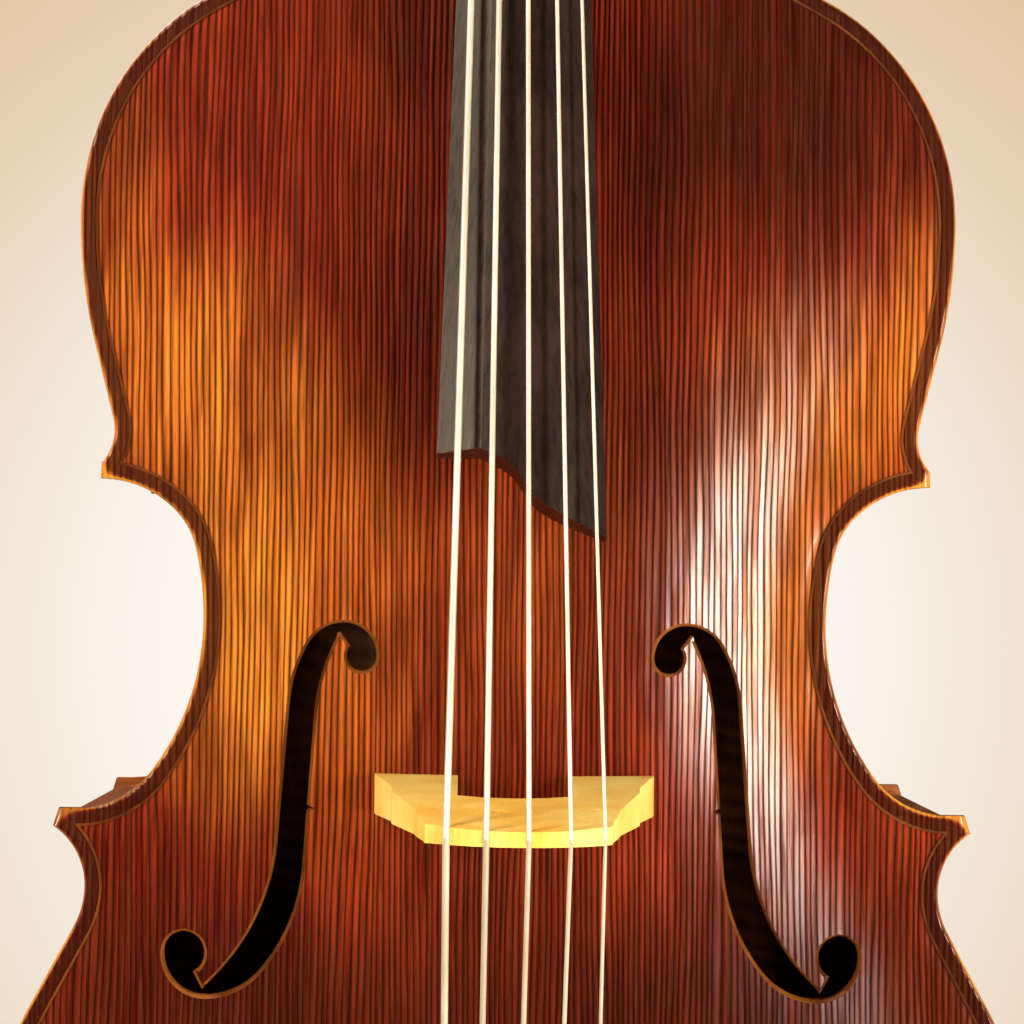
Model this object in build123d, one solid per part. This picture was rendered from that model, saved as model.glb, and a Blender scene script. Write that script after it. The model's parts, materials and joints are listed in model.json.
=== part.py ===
from build123d import *
import os
from math import atan, cos, degrees, pi, radians, sin, sqrt

# Double bass (contrabass), five strings, standing upright on its endpin.
# +Z runs up the instrument, the front faces -Y, +X is the treble side.
# The origin is the centre of the underside of the endpin's rubber tip.
# Body positions are written (x, s, h): s above the bridge line, h in front of the top's edge plane.

# ---------------------------------------------------------------- main dimensions
BRIDGE_Z = 695.0            # bridge line above the floor
FRONT_Y = -117.0            # plane of the top's outer edge
TOP_EDGE = 7.0              # thickness of the top at its edge
BACK_EDGE = 6.0             # thickness of the back at its edge
TOP_ARCH = 34.0             # rise of the top
BACK_ARCH = 28.0            # rise of the back
RIB_DEPTH_LOW = 220.0       # ribs at the endpin
RIB_DEPTH_TOP = 182.0       # ribs at the neck
BODY_LOW = -545.0           # s of the bottom of the body
OVERHANG = 5.0              # plates beyond the ribs
RIB = 2.5
GLUE = 0.2                  # glue seam between a plate and what it sits on
PURFLING_IN = 9.5
PURFLING_WIDE = 1.6
PURFLING_DEEP = 1.5
RIB_Y = FRONT_Y + TOP_EDGE  # front edge of the ribs
BACK_Y = RIB_Y + RIB_DEPTH_LOW
FAR = 400.0                 # further than any part of the box from the middle
ROOM = 50.0                 # further than any arch from its edge plane
LINING_WIDE, LINING_DEEP = 8.0, 16.0
NECK_BLOCK = (92.0, 76.0)   # half width and length
END_BLOCK = (80.0, 70.0)
SADDLE = (30.0, 12.0, 9.0)  # half width, length, rise over the edge
BASS_BAR_X, BASS_BAR_HALF, BASS_BAR_DEEP = (-68.0, -48.0), 340.0, (-180.0, -112.0)
POST_X, POST_S, POST_R = 58.0, -26.0, 9.0
UPPER_BLOCK = ((236, 262), (300, 262), (300, 150), (196, 150), (188, 178))
LOWER_BLOCK = ((212, 52), (330, 52), (330, -74), (246, -74), (206, -12))
UPPER_MITRE = ((0, 329), (257, 204), (420, 125))    # line where the ribs meet at the upper corner
LOWER_MITRE = ((420, 38), (281, -9), (0, -103))

# ---------------------------------------------------------------- outline, right half
# Runs start at a widest or narrowest point with a heading in degrees.
# A move is (length,) for a straight or (radius, turn) for an arc, left turns positive.
UPPER_WIDEST = (272.2, 363.0)
WAIST = (192.3, 112.0)
LOWER_WIDEST = (340.0, -310.0)
SHOULDER = ((166.0, 22.6), (150.0, 40.2), (698.7, -15.0))
UPPER_TO_CORNER = ((320.0, -14.5), (48.0,), (30.0, 52.5), (2.0,))
WAIST_UP = ((186.0, -14.0), (50.0, -34.0), (66.0, -42.0))
WAIST_DOWN = ((156.0, 36.6), (56.0, 53.4), (11.0,))
LOWER_TO_CORNER = ((402.0, 28.2), (50.0,), (52.0, -28.2), (44.0, -53.0), (3.0,))
LOWER_BOUT = ((190.0, -56.59), (462.5, -33.41))
BUTTON_R = 27.0

# ---------------------------------------------------------------- arching
ARCH_MID = 31.5
ARCH_HALF = 570.0
ARCH_WIDTHS = ((-560.0, 300.0), (-310.0, 328.0), (112.0, 181.0), (363.0, 260.0), (625.0, 235.0))
SLAB_HALF_W = 352.0
SLAB_LOW, SLAB_HIGH = -560.0, 640.0
SLAB_COLS, SLAB_ROWS = 33, 61

# ---------------------------------------------------------------- f-holes, right one
F_TOP_EYE = (93.5, 92.0)
F_TOP_EYE_R = 9.3
F_LOW_EYE = (200.0, -90.0)
F_LOW_EYE_R = 12.8
F_OUTER = ((20.0, -90.0), (26.0, -60.0), (85.0, -26.0), (84.0,), (130.0, 40.0), (12.0,))
F_INNER = ((25.0, -90.0), (45.0, -50.0), (110.0, -36.5), (90.0,), (120.0, 22.5), (7.0,))
F_TOP_CUT = 40.0            # angle round the eye where the wing begins
F_LOW_CUT = -118.0
F_NOTCH = 3.0
F_NOTCH_OUT = 31.5

# ---------------------------------------------------------------- bridge
BRIDGE_BACK_S = -2.0        # tailpiece-side face
BRIDGE_FOOT = 23.5          # thickness at the feet
BRIDGE_CROWN = 8.0          # thickness at the crown
BRIDGE_H = 193.0
CROWN_R = 80.0
CROWN_X = 2.0
CROWN_MARKS = (48, 36, 24, 12, 0, -12, -24, -36, -48)
BRIDGE_SIDE = (
    (34, 16), (83, 16), (84.5, 23), (83, 35), (72.5, 70),
    (71, 86), (57, 134), (54.5, 150), (51, 166), (50, 175),
)
BRIDGE_ARC = ((-34, 97), (-17, 103), (0, 105), (17, 103), (34, 97))
KIDNEY, KIDNEY_SIZE = (45.5, 133), (4.5, 2.4)
HEART = ((-9, 138, 3.2), (-12, 141.5, 2.8), (-6, 141.5, 2.8))   # x, h and radius of its three lobes
SLIT, SLIT_SIZE = (-1.5, 113), (25, 1.2)

# ---------------------------------------------------------------- fingerboard and neck
NUT_S = 1068.0
BOARD_LOW_S = 154.0
BOARD_NUT_H = -66.5         # height of the board's underside at the nut
BOARD_SLOPE = 0.1983
BOARD_EDGE = 11.0
BOARD_R = 75.0
BOARD_W_NUT, BOARD_W_LOW = 25.0, 48.6
BEVEL_NUT, BEVEL_LOW = -12.0, -23.0
BOARD_SQUARE_S, BOARD_POINT_S = 207.0, 159.0
# x and drop of the slanting end
BOARD_END = ((-17.0, 3.0), (-6.0, 9.4), (0.0, 17.0), (6.0, 26.0), (18.0, 35.0), (36.0, 43.0))
NECK_DEPTH_NUT, NECK_DEPTH_HEEL = 23.0, 31.0
NECK_HEEL_S = 712.0
HEEL_FRONT_W, HEEL_BACK_W = 31.0, 23.0
TENON = 22.0
NUT_LONG = 10.0
NECK_LEAN = degrees(atan(BOARD_SLOPE))

# ---------------------------------------------------------------- head
HEAD_LEAN = NECK_LEAN + 10.0
CHEEK_OUT, CHEEK_IN = 32.0, 20.0
PEGBOX_LONG = 226.0
SCROLL_U, SCROLL_V, SCROLL_R = 272.0, 20.0, 46.0
ROLLER_V = 24.0
ROLLER_R = 5.0
RUN_CLEAR = 0.3
BLIND = 8.0                 # depth of a roller's end in the far cheek
PLATE_THICK = 2.6
TEETH = 24
GEAR_R = 17.0
GEAR_TIP, GEAR_ROOT = 0.9, 1.2
GEAR_WIDE = 6.0
GEAR_X = CHEEK_OUT + PLATE_THICK + 0.5
LEAD = 2 * pi * GEAR_R / TEETH
WORM_PITCH_R, WORM_TIP_R, WORM_CORE_R = 3.8, 4.6, 2.6
WORM_TURNS = 4
AXIS_GAP = GEAR_R + WORM_PITCH_R
SHAFT_R = 2.5
WORM_X = GEAR_X + GEAR_WIDE / 2
KEY_V = (66.0, 102.0)
KEY_HALF = 17.0

# ---------------------------------------------------------------- strings, bass to treble
NAMES = ("b", "e", "a", "d", "g")
RADII = (1.95, 1.65, 1.4, 1.2, 1.05)
X_BRIDGE = (-38.5, -17.3, 5.0, 27.2, 45.8)
X_NUT = (-22.0, -11.7, -1.5, 8.7, 19.0)
X_TAIL = (-38.8, -18.7, 3.0, 24.7, 45.8)
X_ROLLER = (-13.0, -8.0, -1.5, 6.5, 13.0)
ROLLER_U = (45.0, 115.0, 185.0, 150.0, 80.0)
SIDE = (-1, -1, -1, 1, 1)   # -1 turns from the bass cheek, +1 from the treble cheek
NUT_LIFT = 1.6

# ---------------------------------------------------------------- tailpiece and endpin
TAIL_TOP = (-178.0, 117.0)  # s and h of the underside at the upper end
TAIL_LOW = (-500.0, 20.0)
TAIL_W = (53.0, 24.0)
TAIL_EDGE = 9.0
TAIL_R = (125.0, 60.0)
TAIL_HOLE_S = -201.0
TAIL_HOLE_R = 4.0
WIRE_R = 1.6
WIRE_LOOP_R = 16.1
ROD_R = 5.0
ROD_TOP = 420.0
TIP_R, TIP_TOP = 13.0, 34.0
SOCKET_FLANGE_R, SOCKET_NECK_R = 20.0, 13.5
SOCKET_LOW = 112.0
BODY_LOW_Z = BRIDGE_Z + BODY_LOW
SCREW_Z, SCREW_R = 123.0, 3.0
WING = (30.0, 4.0)
PLUG_LONG, PLUG_R = 70.0, (15.0, 12.5)


# ---------------------------------------------------------------- drawing helpers
def spot(x, s, h):
    """Point in the row frame from body co-ordinates."""
    return Vector(x, FRONT_Y - h, BRIDGE_Z + s)


def walk(start, heading, moves):
    """Points and middle points of a run of tangent straights and arcs."""
    x, s = start
    steps = []
    for move in moves:
        if len(move) == 1:
            x += move[0] * cos(radians(heading))
            s += move[0] * sin(radians(heading))
            steps.append((None, (x, s)))
            continue
        radius, turn = move
        side = 1 if turn > 0 else -1
        cx = x - side * radius * sin(radians(heading))
        cs = s + side * radius * cos(radians(heading))
        marks = []
        for part in (turn / 2, turn):
            angle = radians(heading + part)
            marks.append((cx + side * radius * sin(angle), cs - side * radius * cos(angle)))
        heading += turn
        x, s = marks[1]
        steps.append((marks[0], marks[1]))
    return steps


def run_steps(start, heading, moves):
    """Run as (from, middle, to) steps, middle being None on a straight."""
    steps = []
    here = start
    for middle, there in walk(start, heading, moves):
        steps.append((here, middle, there))
        here = there
    return steps


def turned(steps):
    """The same steps walked the other way."""
    return [(there, middle, here) for here, middle, there in reversed(steps)]


def mirrored(steps):
    """The same steps on the other side of the centre line."""
    def flip(mark):
        return None if mark is None else (-mark[0], mark[1])
    return [(flip(here), flip(middle), flip(there)) for here, middle, there in steps]


def step_edges(steps):
    """Edges of a list of steps."""
    edges = []
    for here, middle, there in steps:
        if middle is None:
            edges.append(Edge.make_line(here, there))
        else:
            edges.append(Edge.make_three_point_arc(here, middle, there))
    return edges


def flat(steps):
    """Face bounded by a closed list of steps, facing up."""
    face = Face(Wire(step_edges(steps)))
    return face if face.normal_at().Z > 0 else -face


def run_end(start, heading, moves):
    """Last point of a run."""
    return walk(start, heading, moves)[-1][1]


TOP_S = run_end(UPPER_WIDEST, 90, SHOULDER)[1]
BODY_LONG = TOP_S - BODY_LOW
BACK_TILT = degrees(atan((RIB_DEPTH_LOW - RIB_DEPTH_TOP) / BODY_LONG))


def half_outline():
    """Steps of the right half of the body outline, from the neck down to the endpin."""
    steps = turned(run_steps(UPPER_WIDEST, 90, SHOULDER))
    steps.insert(0, ((0.0, TOP_S), None, steps[0][0]))
    steps += run_steps(UPPER_WIDEST, -90, UPPER_TO_CORNER)
    waist = turned(run_steps(WAIST, 90, WAIST_UP))
    steps.append((steps[-1][2], None, waist[0][0]))
    steps += waist + run_steps(WAIST, -90, WAIST_DOWN)
    lower = turned(run_steps(LOWER_WIDEST, 90, LOWER_TO_CORNER))
    steps.append((steps[-1][2], None, lower[0][0]))
    steps += lower + run_steps(LOWER_WIDEST, -90, LOWER_BOUT)
    here, middle, there = steps[-1]
    steps[-1] = (here, middle, (0.0, there[1]))
    return steps


def body_face():
    """Closed outline of the top."""
    steps = half_outline()
    return flat(steps + turned(mirrored(steps)))


def stand(face, y):
    """Stand a flat drawing up at depth y."""
    return Plane(origin=(0, y, BRIDGE_Z), x_dir=(1, 0, 0), z_dir=(0, -1, 0)) * face


def prism(face, y0, y1):
    """Drawing pushed from depth y1 forward to depth y0."""
    return extrude(stand(face, y1), y1 - y0, dir=(0, -1, 0))


def shrink(face, amount):
    """Outline moved inward."""
    return offset(face, -amount, kind=Kind.INTERSECTION).faces()[0]


def block(x0, x1, y0, y1, z0, z1):
    """Upright box from its limits."""
    middle = ((x0 + x1) / 2, (y0 + y1) / 2, (z0 + z1) / 2)
    return Pos(*middle) * Box(x1 - x0, y1 - y0, z1 - z0)


def rod(points, radius):
    """Round wire through straight legs with ball joints."""
    solid = None
    for a, b in zip(points, points[1:]):
        leg = b - a
        plane = Plane(origin=a, z_dir=leg)
        piece = extrude(plane * Circle(radius), leg.length)
        solid = piece if solid is None else solid + piece
    for point in points[1:-1]:
        solid += Pos(*point) * Sphere(radius)
    return solid


# ---------------------------------------------------------------- arched plates
def ease(t):
    """Smooth step from 0 to 1."""
    t = min(max(t, 0.0), 1.0)
    return t * t * (3 - 2 * t)


def arch_width(s):
    """Half width over which the arch falls to nothing."""
    for (s0, w0), (s1, w1) in zip(ARCH_WIDTHS, ARCH_WIDTHS[1:]):
        if s <= s1:
            return w0 + (w1 - w0) * ease((s - s0) / (s1 - s0))
    return ARCH_WIDTHS[-1][1]


def arch(x, s):
    """Arch height as a share of the full rise."""
    along = max(0.0, 1 - abs((s - ARCH_MID) / ARCH_HALF) ** 4) ** 1.5
    across = max(0.0, 1 - (x / arch_width(s)) ** 2) ** 1.6
    return along * across


def arch_sheet(y, rise):
    """Spline sheet at depth y that bulges by rise (towards -Y when positive)."""
    rows = []
    for i in range(SLAB_ROWS):
        s = SLAB_LOW + (SLAB_HIGH - SLAB_LOW) * i / (SLAB_ROWS - 1)
        row = []
        for j in range(SLAB_COLS):
            x = SLAB_HALF_W * (2 * j / (SLAB_COLS - 1) - 1)
            row.append(Vector(x, y - rise * arch(x, s), BRIDGE_Z + s))
        rows.append(row)
    return Face.make_surface_from_array_of_points(rows, tol=0.02)


def push(sheet, distance):
    """Sheet thickened along Y."""
    return extrude(sheet, abs(distance), dir=(0, 1 if distance > 0 else -1, 0))


def tilt(shape):
    """Lean the back towards the neck."""
    pivot = Pos(0, BACK_Y, BODY_LOW_Z)
    return pivot * Rot(BACK_TILT, 0, 0) * pivot.inverse() * shape


def around(centre, radius, angle):
    """Point on a circle."""
    return (centre[0] + radius * cos(radians(angle)), centre[1] + radius * sin(radians(angle)))


def f_hole():
    """Right f-hole drawing with its eyes and the notch at the bridge line."""
    top_start = around(F_TOP_EYE, F_TOP_EYE_R, 180)
    low_start = around(F_LOW_EYE, F_LOW_EYE_R, 0)
    top_cut = around(F_TOP_EYE, F_TOP_EYE_R, F_TOP_CUT)
    low_cut = around(F_LOW_EYE, F_LOW_EYE_R, F_LOW_CUT)
    steps = run_steps(top_start, 90, F_OUTER)
    steps.append((steps[-1][2], None, low_cut))
    steps.append((low_cut, around(F_LOW_EYE, F_LOW_EYE_R, 90), low_start))
    steps += run_steps(low_start, -90, F_INNER)
    steps.append((steps[-1][2], None, top_cut))
    steps.append((top_cut, around(F_TOP_EYE, F_TOP_EYE_R, -90), top_start))
    notch_x = F_TOP_EYE[0] + F_NOTCH_OUT
    notch = Polygon((notch_x + 2, F_NOTCH), (notch_x - F_NOTCH, 0), (notch_x + 2, -F_NOTCH), align=None)
    return Sketch() + flat(steps) + notch


def ring(face, outer, inner):
    """Band between two inward offsets."""
    return shrink(face, outer) - shrink(face, inner)


# ---------------------------------------------------------------- inclined frames
def lean_point(lean, origin, along, depth, x=0.0):
    """Point at a distance along and behind a line that leans back by an angle."""
    a = radians(lean)
    return origin + Vector(x, along * sin(a) + depth * cos(a), along * cos(a) - depth * sin(a))


def lean_plane(lean, origin, along, depth=0.0):
    """Section plane across a leaning line; its y runs to the back."""
    a = radians(lean)
    here = lean_point(lean, origin, along, depth)
    return Plane(origin=here, x_dir=(1, 0, 0), z_dir=(0, sin(a), cos(a)))


def side_plane(lean, origin, x):
    """Side-view plane: local x along the line, local y to the back, facing -X."""
    a = radians(lean)
    return Plane(origin=origin + Vector(x, 0, 0), x_dir=(0, sin(a), cos(a)), z_dir=(-1, 0, 0))


NECK_O = spot(0, NUT_S, BOARD_NUT_H)
HEAD_O = lean_point(NECK_LEAN, NECK_O, NUT_LONG, 0)


def crowned(half, edge, radius, bevel_x):
    """Board section: flat below, round above, with a flat bevel on the bass side."""
    crown = edge + radius - sqrt(radius ** 2 - half ** 2)

    def top(x):
        return radius - crown - sqrt(radius ** 2 - x ** 2)
    corner = (bevel_x, top(bevel_x))
    middle = ((half + bevel_x) / 2, top((half + bevel_x) / 2))
    edges = [
        Edge.make_line((-half, 0), (half, 0)),
        Edge.make_line((half, 0), (half, -edge)),
        Edge.make_three_point_arc((half, -edge), middle, corner),
        Edge.make_line(corner, (-half, -edge)),
        Edge.make_line((-half, -edge), (-half, 0)),
    ]
    return Face(Wire(edges))


def board():
    """Fingerboard with a square end under the bevel and a slanting curve to the treble corner."""
    low = (BOARD_LOW_S - NUT_S) / cos(radians(NECK_LEAN))
    sections = (
        lean_plane(NECK_LEAN, NECK_O, low) * crowned(BOARD_W_LOW, BOARD_EDGE, BOARD_R, BEVEL_LOW),
        lean_plane(NECK_LEAN, NECK_O, 0) * crowned(BOARD_W_NUT, BOARD_EDGE, BOARD_R, BEVEL_NUT),
    )
    solid = loft(sections, ruled=True)
    a = radians(NECK_LEAN)
    front = Plane(origin=NECK_O, x_dir=(1, 0, 0), z_dir=(0, -cos(a), sin(a)))
    square = (BOARD_SQUARE_S - NUT_S) / cos(a)
    point = (BOARD_POINT_S - NUT_S) / cos(a)
    marks = [(x, square - drop) for x, drop in BOARD_END]
    curve = Spline((BEVEL_LOW, square), *marks, (BOARD_W_LOW + 2, point))
    wires = [
        Edge.make_line((-60, low - 20), (-60, square)),
        Edge.make_line((-60, square), (BEVEL_LOW, square)),
        curve.edge(),
        Edge.make_line((BOARD_W_LOW + 2, point), (60, point)),
        Edge.make_line((60, point), (60, low - 20)),
        Edge.make_line((60, low - 20), (-60, low - 20)),
    ]
    cutter = extrude(front * Face(Wire(wires)), 60, both=True)
    return solid - cutter


def half_round(half, depth):
    """Neck section, flat in front and round behind."""
    edges = [Edge.make_line((half, 0), (-half, 0))]
    edges.append(Edge.make_three_point_arc((-half, 0), (0, depth), (half, 0)))
    return Face(Wire(edges))


def heel():
    """Neck heel from the fingerboard line back to the button, with its tenon."""
    front_h = BOARD_NUT_H + (NUT_S - TOP_S) * BOARD_SLOPE
    slope_h = BOARD_NUT_H + (NUT_S - NECK_HEEL_S) * BOARD_SLOPE
    top_z = BRIDGE_Z + TOP_S
    low_h = front_h + TENON * BOARD_SLOPE
    back_y = BACK_Y
    throat = BRIDGE_Z + NECK_HEEL_S
    marks = (
        (FRONT_Y - low_h, top_z - TENON),
        (FRONT_Y - slope_h, throat),
        (FRONT_Y - slope_h + NECK_DEPTH_HEEL, throat),
    )
    view = Plane(origin=(0, 0, 0), x_dir=(0, 1, 0), z_dir=(1, 0, 0))
    edges = [
        Edge.make_line(marks[0], marks[1]),
        Edge.make_line(marks[1], marks[2]),
        Edge.make_three_point_arc(marks[2], (-72, top_z + 52), (20, top_z + 30)),
        Edge.make_line((20, top_z + 30), (back_y, top_z + 20)),
        Edge.make_line((back_y, top_z + 20), (back_y, top_z - TENON)),
        Edge.make_line((back_y, top_z - TENON), marks[0]),
    ]
    solid = extrude(view * Face(Wire(edges)), HEEL_FRONT_W, both=True)
    wedge = Polygon(
        (-HEEL_FRONT_W, FRONT_Y - front_h - 10), (HEEL_FRONT_W, FRONT_Y - front_h - 10),
        (HEEL_FRONT_W, FRONT_Y), (HEEL_BACK_W, back_y), (-HEEL_BACK_W, back_y), (-HEEL_FRONT_W, FRONT_Y),
        align=None,
    )
    return solid & (Pos(0, 0, top_z - TENON) * extrude(wedge, 200))


def head():
    """Pegbox with a stepped volute at its end."""
    marks = ((-14, 3), (0, 0.2), (PEGBOX_LONG, 0), (PEGBOX_LONG + 12, 20), (PEGBOX_LONG + 4, 60))
    back = ((120, 62), (50, 59), (10, 44), (-22, 21))
    edges = [Edge.make_line(a, b) for a, b in zip(marks, marks[1:])]
    edges.append(Edge.make_spline([Vector(*m) for m in (marks[-1],) + back]))
    edges.append(Edge.make_line(back[-1], marks[0]))
    side = side_plane(HEAD_LEAN, HEAD_O, CHEEK_OUT)
    solid = extrude(side * Face(Wire(edges)), 2 * CHEEK_OUT, dir=(-1, 0, 0))
    for radius, half in ((SCROLL_R, 24.0), (SCROLL_R * 0.72, 34.0), (SCROLL_R * 0.42, 43.0)):
        disc = side_plane(HEAD_LEAN, HEAD_O, 0) * (Pos(SCROLL_U, SCROLL_V) * Circle(radius))
        solid += extrude(disc, half, both=True)
    return solid


def head_box(x0, x1, u0, u1, v0, v1):
    """Box in the head's own directions."""
    middle = lean_plane(HEAD_LEAN, HEAD_O, (u0 + u1) / 2, (v0 + v1) / 2)
    middle.origin += Vector((x0 + x1) / 2, 0, 0)
    return middle * Box(x1 - x0, v1 - v0, u1 - u0)


def cross_pin(x0, x1, u, v, radius):
    """Cylinder across the head from x0 to x1."""
    centre = lean_point(HEAD_LEAN, HEAD_O, u, v)
    plane = Plane(origin=centre + Vector(x0, 0, 0), x_dir=(0, 0, 1), z_dir=(1, 0, 0))
    return extrude(plane * Circle(radius), x1 - x0)


def depth_pin(x, u, v0, v1, radius):
    """Cylinder from front to back of the head."""
    a = radians(HEAD_LEAN)
    centre = lean_point(HEAD_LEAN, HEAD_O, u, v0, x)
    plane = Plane(origin=centre, x_dir=(1, 0, 0), z_dir=(0, cos(a), -sin(a)))
    return extrude(plane * Circle(radius), v1 - v0)


# ---------------------------------------------------------------- tuning machines, bass side form
def gear_section(shift):
    """Toothed wheel outline with a gap at the worm, turned by shift degrees."""
    step = 360 / TEETH
    shape = ((-0.30, -GEAR_ROOT), (-0.17, GEAR_TIP), (0.17, GEAR_TIP), (0.30, -GEAR_ROOT))
    points = []
    for tooth in range(TEETH):
        for place, rise in shape:
            angle = radians(step * (tooth + 0.5 + place) + shift)
            points.append(((GEAR_R + rise) * cos(angle), (GEAR_R + rise) * sin(angle)))
    return Polygon(*points, align=None).face()


def gear():
    """Wheel about the local Z axis, gap towards +X, teeth slanted to suit the worm."""
    slant = atan(LEAD / (2 * pi * WORM_PITCH_R))
    twist = degrees(GEAR_WIDE / 2 * sin(slant) / cos(slant) / GEAR_R)
    low = Pos(0, 0, -GEAR_WIDE / 2) * gear_section(-twist)
    high = Pos(0, 0, GEAR_WIDE / 2) * gear_section(twist)
    return loft([low, high], ruled=True) - Cylinder(ROLLER_R, 3 * GEAR_WIDE)


def worm():
    """Worm thread with its core about the local Z axis, thread towards +X at the middle."""
    long = WORM_TURNS * LEAD
    path = Helix(pitch=LEAD, height=long, radius=WORM_CORE_R - 0.2, center=(0, 0, -long / 2))
    rise = WORM_TIP_R - WORM_CORE_R + 0.2
    section = Polygon((0, -1.25), (rise, -0.55), (rise, 0.55), (0, 1.25), align=None)
    start = Plane(origin=path @ 0, x_dir=(1, 0, 0), z_dir=path % 0)
    thread = sweep(start * section, path=path, is_frenet=True)
    return thread + Cylinder(WORM_CORE_R, long + 6)


def tuner_plane(index, x, u_gap=0.0):
    """Frame at a tuner: local x towards the nut, local z to the back."""
    a = radians(HEAD_LEAN)
    centre = lean_point(HEAD_LEAN, HEAD_O, ROLLER_U[index] + u_gap, ROLLER_V, x)
    return Plane(origin=centre, x_dir=(0, -sin(a), -cos(a)), z_dir=(0, cos(a), -sin(a)))


def sided(index, shape):
    """Bass-side shape moved to its own cheek."""
    return shape if SIDE[index] < 0 else shape.mirror(Plane.YZ)


def key(index):
    """Worm, shaft and leaf in one piece."""
    local = tuner_plane(index, -WORM_X, AXIS_GAP)
    shape = local * WORM
    u = ROLLER_U[index] + AXIS_GAP
    shape += depth_pin(-WORM_X, u, ROLLER_V - 14, KEY_V[0] + 4, SHAFT_R)
    leaf = Ellipse((KEY_V[1] - KEY_V[0]) / 2, KEY_HALF)
    middle = lean_point(HEAD_LEAN, HEAD_O, u, (KEY_V[0] + KEY_V[1]) / 2, -WORM_X)
    a = radians(HEAD_LEAN)
    plane = Plane(origin=middle, x_dir=(0, cos(a), -sin(a)), z_dir=(1, 0, 0))
    shape += extrude(plane * leaf, 1.6, both=True)
    return sided(index, shape)


def gear_on(index):
    """Wheel on its roller outside the cheek."""
    a = radians(HEAD_LEAN)
    centre = lean_point(HEAD_LEAN, HEAD_O, ROLLER_U[index], ROLLER_V, -WORM_X)
    plane = Plane(origin=centre, x_dir=(0, sin(a), cos(a)), z_dir=(1, 0, 0))
    return sided(index, plane * GEAR)


def roller(index):
    """Roller with a wheel seat outside and a blind end in the far cheek."""
    wheel_x = -GEAR_X - GEAR_WIDE
    u = ROLLER_U[index]
    shape = cross_pin(wheel_x - 1.5, CHEEK_IN + BLIND, u, ROLLER_V, ROLLER_R)
    shape += cross_pin(wheel_x - 3.5, wheel_x, u, ROLLER_V, ROLLER_R + 1.5)
    return sided(index, shape)


def machine_plate(side):
    """Brass plate with two bearings for each worm."""
    u0, u1 = (14, 222) if side < 0 else (50, 188)
    shape = head_box(-CHEEK_OUT - PLATE_THICK, -CHEEK_OUT, u0, u1, 6, 44)
    for index in range(len(NAMES)):
        if SIDE[index] != side:
            continue
        u = ROLLER_U[index] + AXIS_GAP
        for v in (ROLLER_V - 14, ROLLER_V + 12.5):
            lug = head_box(-WORM_X - 4.5, -CHEEK_OUT, u - 4.5, u + 4.5, v, v + 4)
            shape += lug
        shape -= depth_pin(-WORM_X, u, ROLLER_V - 20, ROLLER_V + 24, SHAFT_R + RUN_CLEAR)
        shape -= depth_pin(-WORM_X, u, ROLLER_V - 9.9, ROLLER_V + 12.4, WORM_TIP_R + RUN_CLEAR + 0.2)
        shape -= cross_pin(-60, 0, ROLLER_U[index], ROLLER_V, ROLLER_R + RUN_CLEAR)
    return shape if side < 0 else shape.mirror(Plane.YZ)


def plate_screws():
    """Small wood screws that hold both plates."""
    shapes = []
    for side, spots in ((-1, (20, 92, 152, 216)), (1, (56, 128, 182))):
        for u in spots:
            for v in (10, 40):
                shape = cross_pin(-CHEEK_OUT - PLATE_THICK - 1.2, -CHEEK_OUT - PLATE_THICK, u, v, 3.0)
                shape += cross_pin(-CHEEK_OUT - PLATE_THICK, -CHEEK_OUT + 7, u, v, 1.4)
                shapes.append(shape if side < 0 else shape.mirror(Plane.YZ))
    return shapes


# ---------------------------------------------------------------- strings
def crown_h(x):
    """Height of the bridge crown."""
    return BRIDGE_H - CROWN_R + sqrt(CROWN_R ** 2 - (x - CROWN_X) ** 2)


def nut_top(x):
    """Depth (negative is forward) of the string seat on the nut."""
    crown = BOARD_EDGE + BOARD_R - sqrt(BOARD_R ** 2 - BOARD_W_NUT ** 2)
    return BOARD_R - crown - sqrt(BOARD_R ** 2 - x ** 2) - NUT_LIFT


def tail_line(s):
    """Height of the tailpiece underside."""
    (s0, h0), (s1, h1) = TAIL_TOP, TAIL_LOW
    return h0 + (h1 - h0) * (s - s0) / (s1 - s0)


def tail_top(x):
    """Thickness of the tailpiece at its upper end."""
    radius, half = TAIL_R[0], TAIL_W[0]
    return TAIL_EDGE + sqrt(radius ** 2 - x ** 2) - sqrt(radius ** 2 - half ** 2)


def string_points(index):
    """String from its hole in the tailpiece over the bridge and nut to its roller."""
    r = RADII[index]
    xt = X_TAIL[index]
    a = radians(TAIL_LEAN)
    lift = tail_top(xt) + r + 0.4
    edge = TAIL_TOP[0]
    points = [
        lean_point(-TAIL_LEAN, spot(xt, TAIL_HOLE_S, tail_line(TAIL_HOLE_S)), 1, 13 - lift),
        lean_point(-TAIL_LEAN, spot(xt, TAIL_HOLE_S, tail_line(TAIL_HOLE_S)), 1.2, -lift),
        spot(xt, edge - lift * sin(a), tail_line(edge) + lift * cos(a)),
        spot(X_BRIDGE[index], BRIDGE_BACK_S + BRIDGE_CROWN / 2, crown_h(X_BRIDGE[index])),
        lean_point(NECK_LEAN, NECK_O, NUT_LONG / 2, nut_top(X_NUT[index]), X_NUT[index]),
    ]
    winding = ROLLER_R + 2 * r
    end = lean_point(HEAD_LEAN, HEAD_O, ROLLER_U[index], ROLLER_V, X_ROLLER[index])
    start = points[-1]
    gap = end - start
    distance = sqrt(gap.Y ** 2 + gap.Z ** 2)
    reach = winding + r + 0.3
    turn = pi / 2 - sin_inverse(reach / distance)
    back = atan_two(-gap.Y, -gap.Z) + turn
    touch = end + Vector(0, sin(back) * reach, cos(back) * reach)
    points.append(touch)
    return points


def sin_inverse(value):
    """Angle whose sine is value."""
    return atan(value / sqrt(1 - value ** 2))


def atan_two(y, z):
    """Angle of (y, z) measured from +Z towards +Y."""
    angle = atan(y / z)
    return angle if z > 0 else angle + pi


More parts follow.
